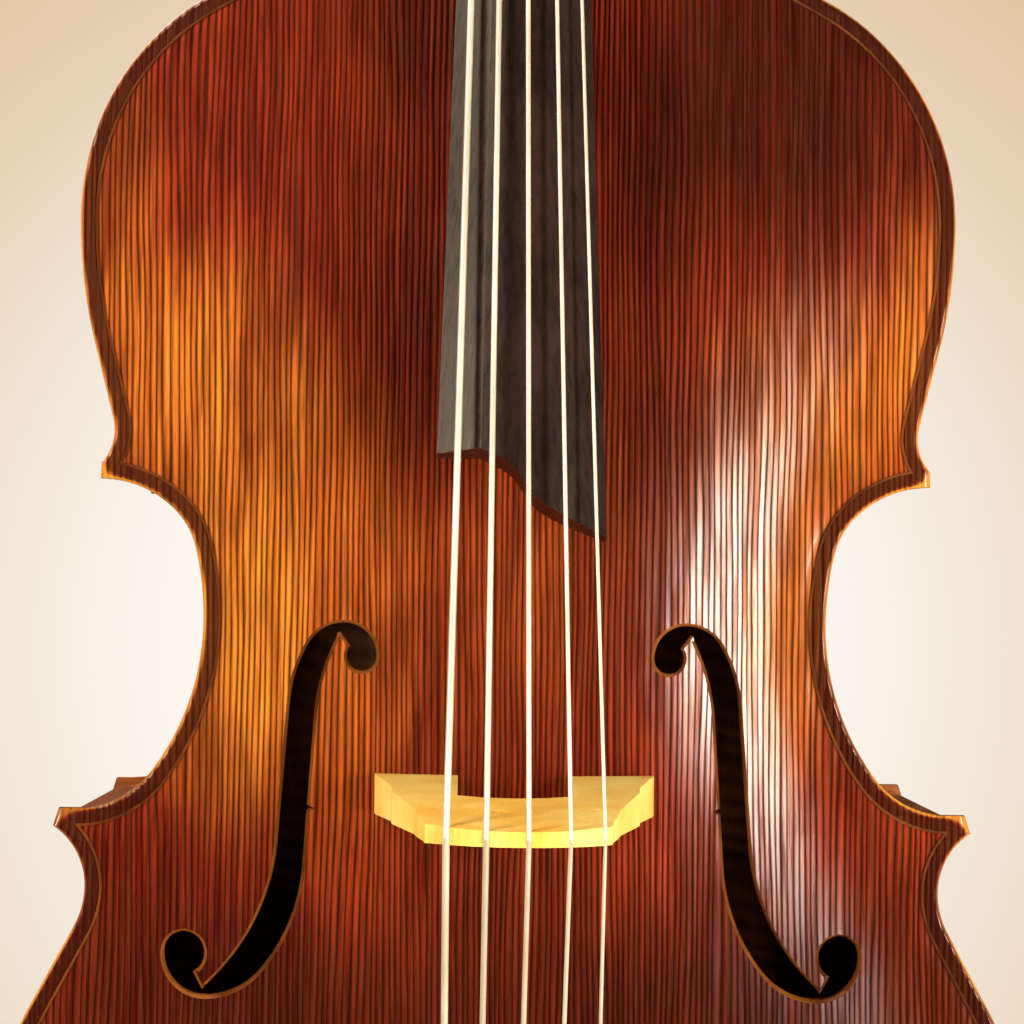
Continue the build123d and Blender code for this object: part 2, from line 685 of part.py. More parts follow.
TAIL_LEAN = degrees(atan((TAIL_TOP[1] - TAIL_LOW[1]) / (TAIL_TOP[0] - TAIL_LOW[0])))


def winding(index):
    """Turns of string round the roller."""
    r = RADII[index]
    x = X_ROLLER[index] * -SIDE[index]
    shape = None
    for turn in range(3):
        middle = x + 2 * r * (turn - 1)
        coil = cross_pin(-middle - r, -middle + r, ROLLER_U[index], ROLLER_V, ROLLER_R + 1.7 * r)
        shape = coil if shape is None else shape + coil
    shape -= cross_pin(-60, 60, ROLLER_U[index], ROLLER_V, ROLLER_R)
    return shape if SIDE[index] > 0 else shape.mirror(Plane.YZ)


# ---------------------------------------------------------------- bridge, tailpiece, endpin
def bridge_blank():
    """Bridge profile with feet, arch, eyes, heart and slit, tapered to the crown."""
    crown = [(x, crown_h(x)) for x in CROWN_MARKS]
    left = [(-x, h) for x, h in reversed(BRIDGE_SIDE)]
    face = Polygon(*BRIDGE_SIDE, *crown, *left, *BRIDGE_ARC, align=None).face()
    for side in (-1, 1):
        face -= Pos(side * KIDNEY[0], KIDNEY[1]) * Ellipse(*KIDNEY_SIZE)
    for x, h, radius in HEART:
        face -= Pos(x, h) * Circle(radius)
    face -= Pos(*SLIT) * Rectangle(*SLIT_SIZE)
    plane = Plane(origin=spot(0, BRIDGE_BACK_S, 0), x_dir=(1, 0, 0), z_dir=(0, 0, 1))
    solid = extrude(plane * mirror(face, about=Plane.XZ), BRIDGE_FOOT, dir=(0, 0, 1))
    view = Plane(origin=(0, 0, 0), x_dir=(0, 1, 0), z_dir=(1, 0, 0))
    z0 = BRIDGE_Z + BRIDGE_BACK_S
    tip_y = FRONT_Y - BRIDGE_H - 2
    foot_y = FRONT_Y - 40
    wedge = Polygon(
        (FRONT_Y, z0), (FRONT_Y, z0 + BRIDGE_FOOT), (foot_y, z0 + BRIDGE_FOOT),
        (tip_y, z0 + BRIDGE_CROWN), (tip_y, z0), align=None,
    )
    return solid & extrude(view * wedge, 100, both=True)


def tailpiece():
    """Arched tailpiece that narrows towards the saddle."""
    sections = []
    for (s, h), half, radius in zip((TAIL_TOP, TAIL_LOW), TAIL_W, TAIL_R):
        crown = TAIL_EDGE + radius - sqrt(radius ** 2 - half ** 2)
        plane = lean_plane(-TAIL_LEAN, spot(0, s, h), 0)
        edges = [
            Edge.make_line((-half, 0), (half, 0)), Edge.make_line((half, 0), (half, -TAIL_EDGE)),
            Edge.make_three_point_arc((half, -TAIL_EDGE), (0, -crown), (-half, -TAIL_EDGE)),
            Edge.make_line((-half, -TAIL_EDGE), (-half, 0)),
        ]
        sections.append(plane * Face(Wire(edges)))
    solid = loft(sections, ruled=True)
    a = radians(TAIL_LEAN)
    for x in X_TAIL:
        centre = spot(x, TAIL_HOLE_S, tail_line(TAIL_HOLE_S))
        plane = Plane(origin=centre, x_dir=(1, 0, 0), z_dir=(0, -cos(a), -sin(a)))
        solid -= extrude(plane * Circle(TAIL_HOLE_R), 60, both=True)
    for side in (-1, 1):
        inner, outer = wire_hole(side)
        solid -= rod([inner - (outer - inner) * 0.05, outer + (outer - inner) * 0.5], WIRE_R + 0.15)
    return solid


def wire_hole(side):
    """The two ends of a wire leg inside the tailpiece's lower end."""
    low = spot(9 * side, TAIL_LOW[0], TAIL_LOW[1] + 6)
    return low + Vector(0, -8, 28), low + Vector(0, -4, -8)


def tail_wire():
    """Steel loop from the tailpiece over the saddle and round the endpin collar."""
    side = list(wire_hole(1)) + [
        Vector(10, FRONT_Y - 11.0, BODY_LOW_Z + 9), Vector(10.5, FRONT_Y - 11.0, BODY_LOW_Z - 2.5),
        Vector(WIRE_LOOP_R, RIB_Y, BODY_LOW_Z - 3.5), Vector(WIRE_LOOP_R, 0, BODY_LOW_Z - 11),
    ]
    turns = [radians(t) for t in range(30, 180, 30)]
    loop = [Vector(WIRE_LOOP_R * cos(t), WIRE_LOOP_R * sin(t), BODY_LOW_Z - 11) for t in turns]
    marks = side + loop + [Vector(-p.X, p.Y, p.Z) for p in reversed(side)]
    path = FilletPolyline(*marks, radius=3.5)
    section = Plane(origin=path @ 0, z_dir=path % 0) * Circle(WIRE_R)
    return sweep(section, path=path)


def socket_plug():
    """Tapered part of the endpin socket, without its bore."""
    return Pos(0, 0, BODY_LOW_Z + OVERHANG + PLUG_LONG / 2 - 1) * Cone(*PLUG_R, PLUG_LONG)


def socket():
    """Endpin socket: tapered plug, flange and collar."""
    rib_z = BODY_LOW_Z + OVERHANG
    plug = socket_plug()
    flange = Pos(0, 0, rib_z - 3) * Cylinder(SOCKET_FLANGE_R, 6)
    neck_long = rib_z - SOCKET_LOW
    neck = Pos(0, 0, SOCKET_LOW + neck_long / 2) * Cylinder(SOCKET_NECK_R, neck_long)
    solid = plug + flange + neck
    solid -= Pos(0, 0, BODY_LOW_Z) * Cylinder(ROD_R + RUN_CLEAR, 300)
    return solid - extrude(screw_plane(0) * Circle(SCREW_R + RUN_CLEAR), 2 * SOCKET_FLANGE_R)


def screw_plane(y):
    """Plane across the lock screw at depth y, facing forward."""
    return Plane(origin=(0, y, SCREW_Z), x_dir=(1, 0, 0), z_dir=(0, -1, 0))


def thumb_screw():
    """Screw with a winged head that locks the rod."""
    shape = extrude(screw_plane(-ROD_R - 0.1) * Circle(SCREW_R), 17)
    shape += extrude(screw_plane(-SOCKET_NECK_R - 2.5) * Circle(2 * SCREW_R), 7)
    return shape + extrude(screw_plane(-SOCKET_NECK_R - 5) * RectangleRounded(*WING, 1.8), 14)


# ---------------------------------------------------------------- body pieces
def nut():
    """Ebony nut across the end of the fingerboard."""
    section = crowned(BOARD_W_NUT, BOARD_EDGE + NUT_LIFT, BOARD_R, 1 - BOARD_W_NUT)
    plane = lean_plane(NECK_LEAN, NECK_O, 0)
    return extrude(plane * section, NUT_LONG, dir=plane.z_dir)


def neck_blank():
    """Neck, heel, pegbox and volute in one piece, cut for the machines."""
    low = (NECK_HEEL_S - NUT_S) / cos(radians(NECK_LEAN))
    sections = (
        lean_plane(NECK_LEAN, NECK_O, low - 6) * half_round(HEEL_FRONT_W, NECK_DEPTH_HEEL),
        lean_plane(NECK_LEAN, NECK_O, NUT_LONG + 3) * half_round(BOARD_W_NUT, NECK_DEPTH_NUT),
    )
    solid = loft(sections, ruled=True) + heel() + head()
    solid -= head_box(-CHEEK_IN, CHEEK_IN, 12, PEGBOX_LONG - 4, -2, 48)
    for index in range(len(NAMES)):
        end_x = CHEEK_IN + BLIND + RUN_CLEAR
        through = cross_pin(-FAR, end_x, ROLLER_U[index], ROLLER_V, ROLLER_R + RUN_CLEAR)
        solid -= sided(index, through)
    for index in range(len(NAMES)):
        sweep_room = depth_pin(-WORM_X, ROLLER_U[index] + AXIS_GAP, 0, 120, WORM_TIP_R + 0.5)
        solid -= sided(index, sweep_room)
    return solid


def corner_plot(side, which):
    """Plan shape of a corner block."""
    marks = UPPER_BLOCK if which == "upper" else LOWER_BLOCK
    return Polygon(*[(side * x, s) for x, s in marks], align=None).face()


def end_plot(edge_s, size, side):
    """Plan shape of the block that fills an end of the box, side -1 reaching down from the edge."""
    half, long = size
    s0, s1 = sorted((edge_s, edge_s + side * long))
    return Polygon((-half, s0), (half, s0), (half, s1), (-half, s1), align=None).face()


def rib_zone(which):
    """Plan region of one right-hand rib, divided along the corners' centre lines."""
    marks = {
        "upper": UPPER_MITRE + ((FAR + 20, 700), (0, 700)),
        "c": UPPER_MITRE + LOWER_MITRE,
        "lower": LOWER_MITRE + ((0, -650), (FAR + 20, -650)),
    }
    return Polygon(*marks[which], align=None).face()


def behind(y):
    """Everything behind the leaning plane at depth y."""
    return tilt(block(-FAR, FAR, y, y + FAR, 0, 2 * BRIDGE_Z))


def plates(outline, top_sheet, back_sheet, heel_room):
    """Top, back, saddle and the two inlays."""
    groove = ring(outline, PURFLING_IN, PURFLING_IN + PURFLING_WIDE)
    half, long, rise = SADDLE
    saddle = block(-half, half, FRONT_Y - rise, RIB_Y, BODY_LOW_Z - 0.5, BODY_LOW_Z + long)
    inlay = prism(groove, FRONT_Y - ROOM, RIB_Y) & push(top_sheet, PURFLING_DEEP)
    top = push(top_sheet, TOP_EDGE) & prism(outline, FRONT_Y - ROOM, RIB_Y + 1)
    hole = prism(f_hole(), FRONT_Y - ROOM, RIB_Y + 1)
    button = outline.fuse(Pos(0, TOP_S) * Circle(BUTTON_R).face()).faces()[0]
    back = push(back_sheet, -BACK_EDGE) & prism(button, BACK_Y - 1, BACK_Y + ROOM)
    back_inlay = prism(groove, BACK_Y, BACK_Y + ROOM) & push(back_sheet, -PURFLING_DEEP)
    return {
        "top_plate": top - hole - hole.mirror(Plane.YZ) - inlay - saddle - heel_room,
        "top_purfling": inlay - heel_room - saddle,
        "saddle": saddle,
        "back_plate": tilt(back - back_inlay),
        "back_purfling": tilt(back_inlay),
    }


def ribs(outline, heel_room, pin_socket):
    """Six ribs between the plates, mitred at the corners."""
    nodes = {}
    band = ring(outline, OVERHANG, OVERHANG + RIB)
    wall = prism(band, RIB_Y + GLUE, BACK_Y + ROOM) - behind(BACK_Y - GLUE)
    for which in ("upper", "c", "lower"):
        right = wall & prism(rib_zone(which), RIB_Y, BACK_Y + ROOM)
        left = right.mirror(Plane.YZ)
        if which == "upper":
            right, left = right - heel_room, left - heel_room
        if which == "lower":
            right, left = right - pin_socket, left - pin_socket
        nodes[which + "_rib_right"] = right
        nodes[which + "_rib_left"] = left
    return nodes


def inner_work(outline, top_sheet, back_sheet, heel_room, pin_socket):
    """Blocks, linings, bass bar and sound post."""
    deep = (FRONT_Y - ROOM, BACK_Y + ROOM)
    front_zone = push(Pos(0, TOP_EDGE + GLUE, 0) * top_sheet, -2 * ROOM)
    back_zone = tilt(push(Pos(0, -BACK_EDGE - GLUE, 0) * back_sheet, 2 * ROOM))
    cavity = prism(shrink(outline, OVERHANG + RIB), *deep) - front_zone - back_zone
    half, long, rise = SADDLE
    seat = (FRONT_Y - rise, RIB_Y + GLUE)
    saddle_room = block(-half - 1, half + 1, *seat, BODY_LOW_Z - 1, BODY_LOW_Z + long + 1)
    neck_plot = end_plot(TOP_S, NECK_BLOCK, -1)
    low_plot = end_plot(BODY_LOW, END_BLOCK, 1)
    nodes = {
        "neck_block": (cavity & prism(neck_plot, *deep)) - heel_room,
        "end_block": (cavity & prism(low_plot, *deep)) - pin_socket - saddle_room,
    }
    plots = neck_plot + low_plot
    for which in ("upper", "lower"):
        for side, label in ((1, "right"), (-1, "left")):
            plot = corner_plot(side, which)
            plots += plot
            nodes[which + "_corner_block_" + label] = cavity & prism(plot, *deep)
    inner = OVERHANG + RIB
    strip = ring(outline, inner, inner + LINING_WIDE) - plots
    nodes["top_linings"] = prism(strip, RIB_Y + GLUE, RIB_Y + LINING_DEEP)
    back_strip = prism(strip, RIB_Y + LINING_DEEP, BACK_Y + ROOM)
    nodes["back_linings"] = back_strip & behind(BACK_Y - LINING_DEEP) - behind(BACK_Y - GLUE)
    bar = block(*BASS_BAR_X, *BASS_BAR_DEEP, BRIDGE_Z - BASS_BAR_HALF, BRIDGE_Z + BASS_BAR_HALF)
    nodes["bass_bar"] = cavity & bar
    post = Plane(origin=(POST_X, BACK_Y + ROOM, BRIDGE_Z + POST_S), z_dir=(0, -1, 0)) * Circle(POST_R)
    nodes["sound_post"] = cavity & extrude(post, BACK_Y - FRONT_Y + 2 * ROOM)
    return nodes


def body_nodes(neck, pin_socket):
    """Plates, ribs, blocks and the rest of the box."""
    outline = body_face()
    top_sheet = arch_sheet(FRONT_Y, TOP_ARCH)
    back_sheet = arch_sheet(BACK_Y + BACK_EDGE, -BACK_ARCH)
    heel_room = neck & block(-FAR, FAR, -FAR, FAR, BODY_LOW_Z, BRIDGE_Z + TOP_S + 10)
    nodes = plates(outline, top_sheet, back_sheet, heel_room)
    nodes |= ribs(outline, heel_room, pin_socket)
    nodes |= inner_work(outline, top_sheet, back_sheet, heel_room, pin_socket)
    nodes["bridge"] = bridge_blank() - push(top_sheet, 90)
    return nodes


def build():
    """All nodes of the bass by name."""
    pin_socket = socket()
    neck = neck_blank() - behind(BACK_Y - GLUE)
    nodes = body_nodes(neck, pin_socket + socket_plug())
    nodes["neck"] = neck
    nodes["fingerboard"] = board()
    nodes["nut"] = nut()
    nodes["tailpiece"] = tailpiece()
    nodes["tail_wire"] = tail_wire()
    nodes["endpin_socket"] = pin_socket
    nodes["endpin_rod"] = Pos(0, 0, (ROD_TOP + 6) / 2) * Cylinder(ROD_R, ROD_TOP - 6)
    tip = Pos(0, 0, TIP_TOP / 2) * Cone(TIP_R, TIP_R - 4, TIP_TOP)
    nodes["endpin_tip"] = tip - nodes["endpin_rod"]
    nodes["thumb_screw"] = thumb_screw()
    for index, name in enumerate(NAMES):
        points = string_points(index)
        nodes["string_" + name] = rod(points, RADII[index])
        room = rod(points[2:], RADII[index] + 0.05)
        nodes["bridge"] -= room
        nodes["nut"] -= room
        nodes["worm_key_" + name] = key(index)
        nodes["gear_wheel_" + name] = gear_on(index)
        nodes["string_roller_" + name] = roller(index)
        nodes["string_winding_" + name] = winding(index)
    screws = plate_screws()
    nodes["machine_plate_bass"] = machine_plate(-1)
    nodes["machine_plate_treble"] = machine_plate(1)
    for screw in screws:
        nodes["neck"] -= screw
        for label in ("machine_plate_bass", "machine_plate_treble"):
            nodes[label] -= screw
    nodes["machine_plate_screws"] = Compound(children=screws)
    return nodes


GEAR = gear()
WORM = worm()
os.makedirs("parts", exist_ok=True)
for node_name, node_shape in build().items():
    if isinstance(node_shape, (list, ShapeList)):
        node_shape = Compound(children=list(node_shape))
    export_step(node_shape, os.path.join("parts", node_name + ".step"))
    print(node_name, node_shape.is_valid, len(node_shape.solids()), round(node_shape.volume))
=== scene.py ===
# %% [markdown]
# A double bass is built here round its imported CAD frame. The frame gives every size and place; this
# lesson adds the finishes and the pieces whose curves a dense grid shows better than a CAD mesh.

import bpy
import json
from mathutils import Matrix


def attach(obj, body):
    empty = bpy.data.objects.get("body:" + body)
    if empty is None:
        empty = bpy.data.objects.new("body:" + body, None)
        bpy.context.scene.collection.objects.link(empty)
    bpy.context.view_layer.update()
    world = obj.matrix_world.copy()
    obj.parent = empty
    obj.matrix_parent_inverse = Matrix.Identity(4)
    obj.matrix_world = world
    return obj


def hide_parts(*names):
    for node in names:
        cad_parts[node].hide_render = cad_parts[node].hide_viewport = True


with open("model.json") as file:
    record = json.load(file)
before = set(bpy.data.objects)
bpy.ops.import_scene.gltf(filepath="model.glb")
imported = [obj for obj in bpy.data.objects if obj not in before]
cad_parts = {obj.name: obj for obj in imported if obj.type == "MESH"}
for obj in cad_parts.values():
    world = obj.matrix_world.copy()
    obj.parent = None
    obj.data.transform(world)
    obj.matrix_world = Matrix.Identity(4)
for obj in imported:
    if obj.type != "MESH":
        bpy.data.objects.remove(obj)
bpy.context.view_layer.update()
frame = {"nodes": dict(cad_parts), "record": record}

import json
import math

import bmesh
import bpy
import mathutils
import numpy as np

MM = 0.001
nodes = frame["nodes"]

# %% [markdown]
# The belly's arch and outline follow the same few radii as the CAD model. A run starts at a widest or a
# narrowest point and walks along arcs (radius, turn) and straights (length), as a luthier sets out a mould.

# %% Outline of the body in millimetres
BRIDGE_Z = 695.0
FRONT_Y = -117.0
BODY_LOW = -545.0
UPPER_WIDEST = (272.2, 363.0)
WAIST = (192.3, 112.0)
LOWER_WIDEST = (340.0, -310.0)
RUNS = {
    "shoulder": (UPPER_WIDEST, 90, ((166.0, 22.6), (150.0, 40.2), (698.7, -15.0))),
    "upper": (UPPER_WIDEST, -90, ((320.0, -14.5), (48.0,), (30.0, 52.5), (2.0,))),
    "waist_up": (WAIST, 90, ((186.0, -14.0), (50.0, -34.0), (66.0, -42.0))),
    "waist_down": (WAIST, -90, ((156.0, 36.6), (56.0, 53.4), (11.0,))),
    "lower": (LOWER_WIDEST, 90, ((402.0, 28.2), (50.0,), (52.0, -28.2), (44.0, -53.0), (3.0,))),
    "end": (LOWER_WIDEST, -90, ((190.0, -56.59), (462.5, -33.41))),
}


def walk(start, heading, moves, step=2.6):
    """Points along tangent straights and arcs: centre plus radius times (sin, -cos) of the heading."""
    here = np.array(start, float)
    points = [here[None]]
    for move in moves:
        if len(move) == 1:
            way = np.array([math.cos(math.radians(heading)), math.sin(math.radians(heading))])
            count = max(2, int(move[0] / step))
            line = here + way * np.linspace(0, move[0], count + 1)[1:, None]
            points.append(line)
            here = line[-1]
            continue
        radius, turn = move
        side = math.copysign(1, turn)
        angle = math.radians(heading)
        centre = here + side * radius * np.array([-math.sin(angle), math.cos(angle)])
        count = max(4, int(radius * abs(math.radians(turn)) / step))
        angles = angle + math.radians(turn) * np.linspace(0, 1, count + 1)[1:]
        arc = centre + side * radius * np.stack([np.sin(angles), -np.cos(angles)], 1)
        points.append(arc)
        here = arc[-1]
        heading += turn
    return np.concatenate(points)


def half_outline():
    """Right half of the outline from the neck down to the endpin."""
    parts = [walk(*RUNS["shoulder"])[::-1], walk(*RUNS["upper"])[1:]]
    parts += [walk(*RUNS["waist_up"])[::-1], walk(*RUNS["waist_down"])[1:]]
    parts += [walk(*RUNS["lower"])[::-1], walk(*RUNS["end"])[1:]]
    line = np.concatenate(parts)
    line[-1, 0] = 0.0
    return line


HALF = half_outline()
TOP_S = HALF[0, 1]
LOOP = np.concatenate([[[0.0, TOP_S]], HALF, HALF[-2::-1] * [-1, 1]])
print("outline points:", len(LOOP), "top of the body at", round(TOP_S, 1))

# %% [markdown]
# Arching: the rise is a share along the body times a share across it, both flat at the top and falling
# softly to nothing near the edge. It repeats the CAD formula, so a denser mesh lies on the same surface.

# %% Arching
ARCH_MID, ARCH_HALF = 31.5, 570.0
ARCH_WIDTHS = np.array([(-560.0, 300.0), (-310.0, 328.0), (112.0, 181.0), (363.0, 260.0), (625.0, 235.0)])
TOP_ARCH, BACK_ARCH = 34.0, 28.0
TOP_EDGE, BACK_EDGE = 7.0, 6.0
BACK_Y = FRONT_Y + TOP_EDGE + 220.0
BACK_TILT = math.atan((220.0 - 182.0) / (TOP_S - BODY_LOW))


def arch_width(s):
    """Half width of the arch: smooth steps (3t^2 - 2t^3) between a few stations."""
    cell = np.clip(np.searchsorted(ARCH_WIDTHS[:, 0], s) - 1, 0, len(ARCH_WIDTHS) - 2)
    low, high = ARCH_WIDTHS[cell], ARCH_WIDTHS[cell + 1]
    t = np.clip((s - low[..., 0]) / (high[..., 0] - low[..., 0]), 0, 1)
    return low[..., 1] + (high[..., 1] - low[..., 1]) * t * t * (3 - 2 * t)


def arch(x, s):
    """Share of the rise: (1 - t^4)^1.5 along times (1 - u^2)^1.6 across."""
    along = np.clip(1 - np.abs((s - ARCH_MID) / ARCH_HALF) ** 4, 0, 1) ** 1.5
    across = np.clip(1 - (x / arch_width(s)) ** 2, 0, 1) ** 1.6
    return along * across


def edge_distance(x, s, line):
    """Distance of each point from a closed line, found against its points in slices."""
    flat = np.stack([x.ravel(), s.ravel()], 1)
    best = np.full(len(flat), 1e9)
    for start in range(0, len(line), 64):
        gap = flat[:, None] - line[None, start:start + 64]
        best = np.minimum(best, np.sqrt((gap ** 2).sum(2)).min(1))
    return best.reshape(x.shape)


def mesh_object(name, vertices, faces, material=None, smooth=True):
    """A mesh in metres from numpy arrays, riding on nothing yet."""
    mesh = bpy.data.meshes.new(name)
    mesh.from_pydata(vertices.tolist(), [], faces.tolist())
    mesh.update()
    obj = bpy.data.objects.new(name, mesh)
    bpy.context.scene.collection.objects.link(obj)
    if material:
        mesh.materials.append(material)
    mesh.polygons.foreach_set("use_smooth", [smooth] * len(mesh.polygons))
    return obj


def grid_faces(rows, cols, wrap=False):
    """Quads of a grid of points; wrap joins the last column to the first."""
    r = np.arange(rows - 1)[:, None]
    c = np.arange(cols if wrap else cols - 1)[None]
    n = (c + 1) % cols
    quads = np.stack([r * cols + c, r * cols + n, (r + 1) * cols + n, (r + 1) * cols + c], -1)
    return quads.reshape(-1, 4)


print("arch at the bridge line:", round(float(arch(np.array(0.0), np.array(0.0))) * TOP_ARCH, 1), "mm")

# %% [markdown]
# Finishes are node trees. Effects that several woods share, such as streaks, flame and blotches, are node
# groups with named sockets, built once. Each material places them with its own values.

# %% Node helpers
def new_group(name, inputs, outputs):
    """A shader node group with float, colour or vector sockets given as (name, kind, value)."""
    group = bpy.data.node_groups.new(name, "ShaderNodeTree")
    kinds = {"f": "NodeSocketFloat", "c": "NodeSocketColor", "v": "NodeSocketVector"}
    for label, kind, value in inputs:
        socket = group.interface.new_socket(label, in_out="INPUT", socket_type=kinds[kind])
        if value is not None:
            socket.default_value = value
    for label, kind in outputs:
        group.interface.new_socket(label, in_out="OUTPUT", socket_type=kinds[kind])
    return group, group.nodes.new("NodeGroupInput"), group.nodes.new("NodeGroupOutput")


def put(tree, kind, settings=None, **sockets):
    """A node with plain settings, and sockets given as values or as other sockets (spaces as _)."""
    node = tree.nodes.new(kind)
    for key, value in (settings or {}).items():
        setattr(node, key, value)
    for key, value in sockets.items():
        index = int(key[1:]) if key[0] == "i" and key[1:].isdigit() else key.replace("_", " ")
        socket = node.inputs[index]
        if isinstance(value, bpy.types.NodeSocket):
            tree.links.new(value, socket)
        else:
            socket.default_value = value
    return node


def maths(tree, operation, a, b=0.0, clamp=False):
    """Output of one Math node."""
    return put(tree, "ShaderNodeMath", {"operation": operation, "use_clamp": clamp}, i0=a, i1=b).outputs[0]


def times(tree, a, b):
    """Product of two values."""
    return maths(tree, "MULTIPLY", a, b)


def plus(tree, a, b):
    """Sum of two values."""
    return maths(tree, "ADD", a, b)


def mix(tree, factor, a, b, blend="MIX"):
    """Output of one colour Mix node."""
    node = put(tree, "ShaderNodeMix", {"data_type": "RGBA", "blend_type": blend}, i0=factor, i6=a, i7=b)
    return node.outputs[2]


def spread(tree, value, low, high, to_low=0.0, to_high=1.0):
    """Output of a Map Range node."""
    node = put(tree, "ShaderNodeMapRange", {"interpolation_type": "SMOOTHSTEP"}, i0=value, i1=low, i2=high)
    node.inputs[3].default_value = to_low
    node.inputs[4].default_value = to_high
    return node.outputs[0]


def noise(tree, vector, scale, detail=3.0, rough=0.5):
    """Factor of a Noise node."""
    node = put(tree, "ShaderNodeTexNoise", None, Vector=vector, Scale=scale, Detail=detail, Roughness=rough)
    return node.outputs[0]


def stretch(tree, vector, scale):
    """Vector scaled by its own factor in each direction."""
    node = put(tree, "ShaderNodeMapping", None, Vector=vector)
    node.inputs["Scale"].default_value = scale
    return node.outputs[0]


def new_material(name):
    """Material, its tree and its Principled shader."""
    material = bpy.data.materials.new(name)
    material.use_nodes = True
    tree = material.node_tree
    return material, tree, tree.nodes["Principled BSDF"]


def group_in(tree, group, **sockets):
    """A group node with its inputs set."""
    node = tree.nodes.new("ShaderNodeGroup")
    node.node_tree = group
    for key, value in sockets.items():
        socket = node.inputs[key.replace("_", " ")]
        if isinstance(value, bpy.types.NodeSocket):
            tree.links.new(value, socket)
        else:
            socket.default_value = value
    return node


# %% Shared effects: streaks, blotches, flame, corduroy
def make_streaks():
    """Fine fibres: noise squeezed across the grain and drawn out along Z."""
    group, source, sink = new_group(
        "streaks", [("Vector", "v", None), ("Fineness", "f", 400.0), ("Along", "f", 0.03)],
        [("Value", "f")])
    parts = put(group, "ShaderNodeSeparateXYZ", None, Vector=source.outputs["Vector"])
    along = times(group, parts.outputs[2], source.outputs["Along"])
    vector = put(group, "ShaderNodeCombineXYZ", None, X=parts.outputs[0], Y=parts.outputs[1], Z=along)
    value = noise(group, vector.outputs[0], source.outputs["Fineness"], 4.0, 0.6)
    group.links.new(value, sink.inputs["Value"])
    return group


def make_blotches():
    """Uneven varnish: two sizes of soft noise multiplied."""
    group, source, sink = new_group(
        "blotches", [("Vector", "v", None), ("Scale", "f", 6.0)], [("Value", "f")])
    wide = noise(group, source.outputs["Vector"], source.outputs["Scale"], 2.0)
    narrow = noise(group, source.outputs["Vector"], times(group, source.outputs["Scale"], 4.0), 3.0)
    both = plus(group, times(group, wide, 0.7), times(group, narrow, 0.3))
    group.links.new(spread(group, both, 0.36, 0.64), sink.inputs["Value"])
    return group


def make_flame():
    """Maple flame: soft bands across the grain, bent by noise."""
    group, source, sink = new_group(
        "flame", [("Vector", "v", None), ("Bands", "f", 70.0), ("Bend", "f", 0.05)], [("Value", "f")])
    parts = put(group, "ShaderNodeSeparateXYZ", None, Vector=source.outputs["Vector"])
    push = times(group, noise(group, source.outputs["Vector"], 9.0, 2.0), source.outputs["Bend"])
    skew = plus(group, parts.outputs[2], times(group, parts.outputs[0], 0.22))
    turn = times(group, plus(group, skew, push), source.outputs["Bands"])
    wave = maths(group, "SINE", times(group, turn, 2 * math.pi))
    patch = noise(group, source.outputs["Vector"], 22.0, 2.0)
    value = plus(group, times(group, wave, times(group, patch, 0.55)), 0.5)
    group.links.new(value, sink.inputs["Value"])
    return group


def make_corduroy():
    """Year rings: humps (0.5 + 0.5 sin(2 pi count)) ^ 0.6 of the warped ring count, uneven in strength."""
    group, source, sink = new_group(
        "corduroy", [("Rings", "v", None), ("Warp", "f", 0.5)],
        [("Height", "f"), ("Valley", "f"), ("Fleck", "f"), ("Ring", "f")])
    parts = put(group, "ShaderNodeSeparateXYZ", None, Vector=source.outputs["Rings"])
    across_u, along_v = parts.outputs[0], parts.outputs[1]

    def field(per_ring, per_metre, detail, rough):
        """Noise with its own scale across the rings and along them."""
        place = put(group, "ShaderNodeCombineXYZ", None, X=times(group, across_u, per_ring),
                    Y=times(group, along_v, per_metre))
        return noise(group, place.outputs[0], 1.0, detail, rough)

    slow = times(group, field(0.07, 3.0, 2.0, 0.5), times(group, source.outputs["Warp"], 9.0))
    quick = times(group, field(0.8, 0.9, 2.0, 0.5), times(group, source.outputs["Warp"], 1.6))
    count = plus(group, across_u, plus(group, slow, quick))
    wave = maths(group, "SINE", times(group, count, 2 * math.pi))
    ridge = plus(group, times(group, wave, 0.5), 0.5)
    cell = times(group, maths(group, "FLOOR", plus(group, count, 0.25)), 7.31)
    own = put(group, "ShaderNodeCombineXYZ", None, X=cell, Y=times(group, along_v, 7.0))
    ring = noise(group, own.outputs[0], 1.0, 2.0, 0.5)
    fleck = field(1.3, 13.0, 4.0, 0.65)
    grain = field(3.0, 170.0, 2.0, 0.5)
    strength = spread(group, plus(group, times(group, ring, 0.7), times(group, fleck, 0.3)),
                      0.36, 0.6, 0.30, 1.0)
    hump = times(group, maths(group, "POWER", ridge, 0.6), strength)
    height = plus(group, hump, times(group, grain, 0.05))
    group.links.new(height, sink.inputs["Height"])
    group.links.new(maths(group, "POWER", maths(group, "SUBTRACT", 1.0, ridge), 2.2), sink.inputs["Valley"])
    group.links.new(fleck, sink.inputs["Fleck"])
    group.links.new(ring, sink.inputs["Ring"])
    return group


STREAKS, BLOTCHES, FLAME, CORDUROY = make_streaks(), make_blotches(), make_flame(), make_corduroy()
print("shared groups:", [g.name for g in bpy.data.node_groups])
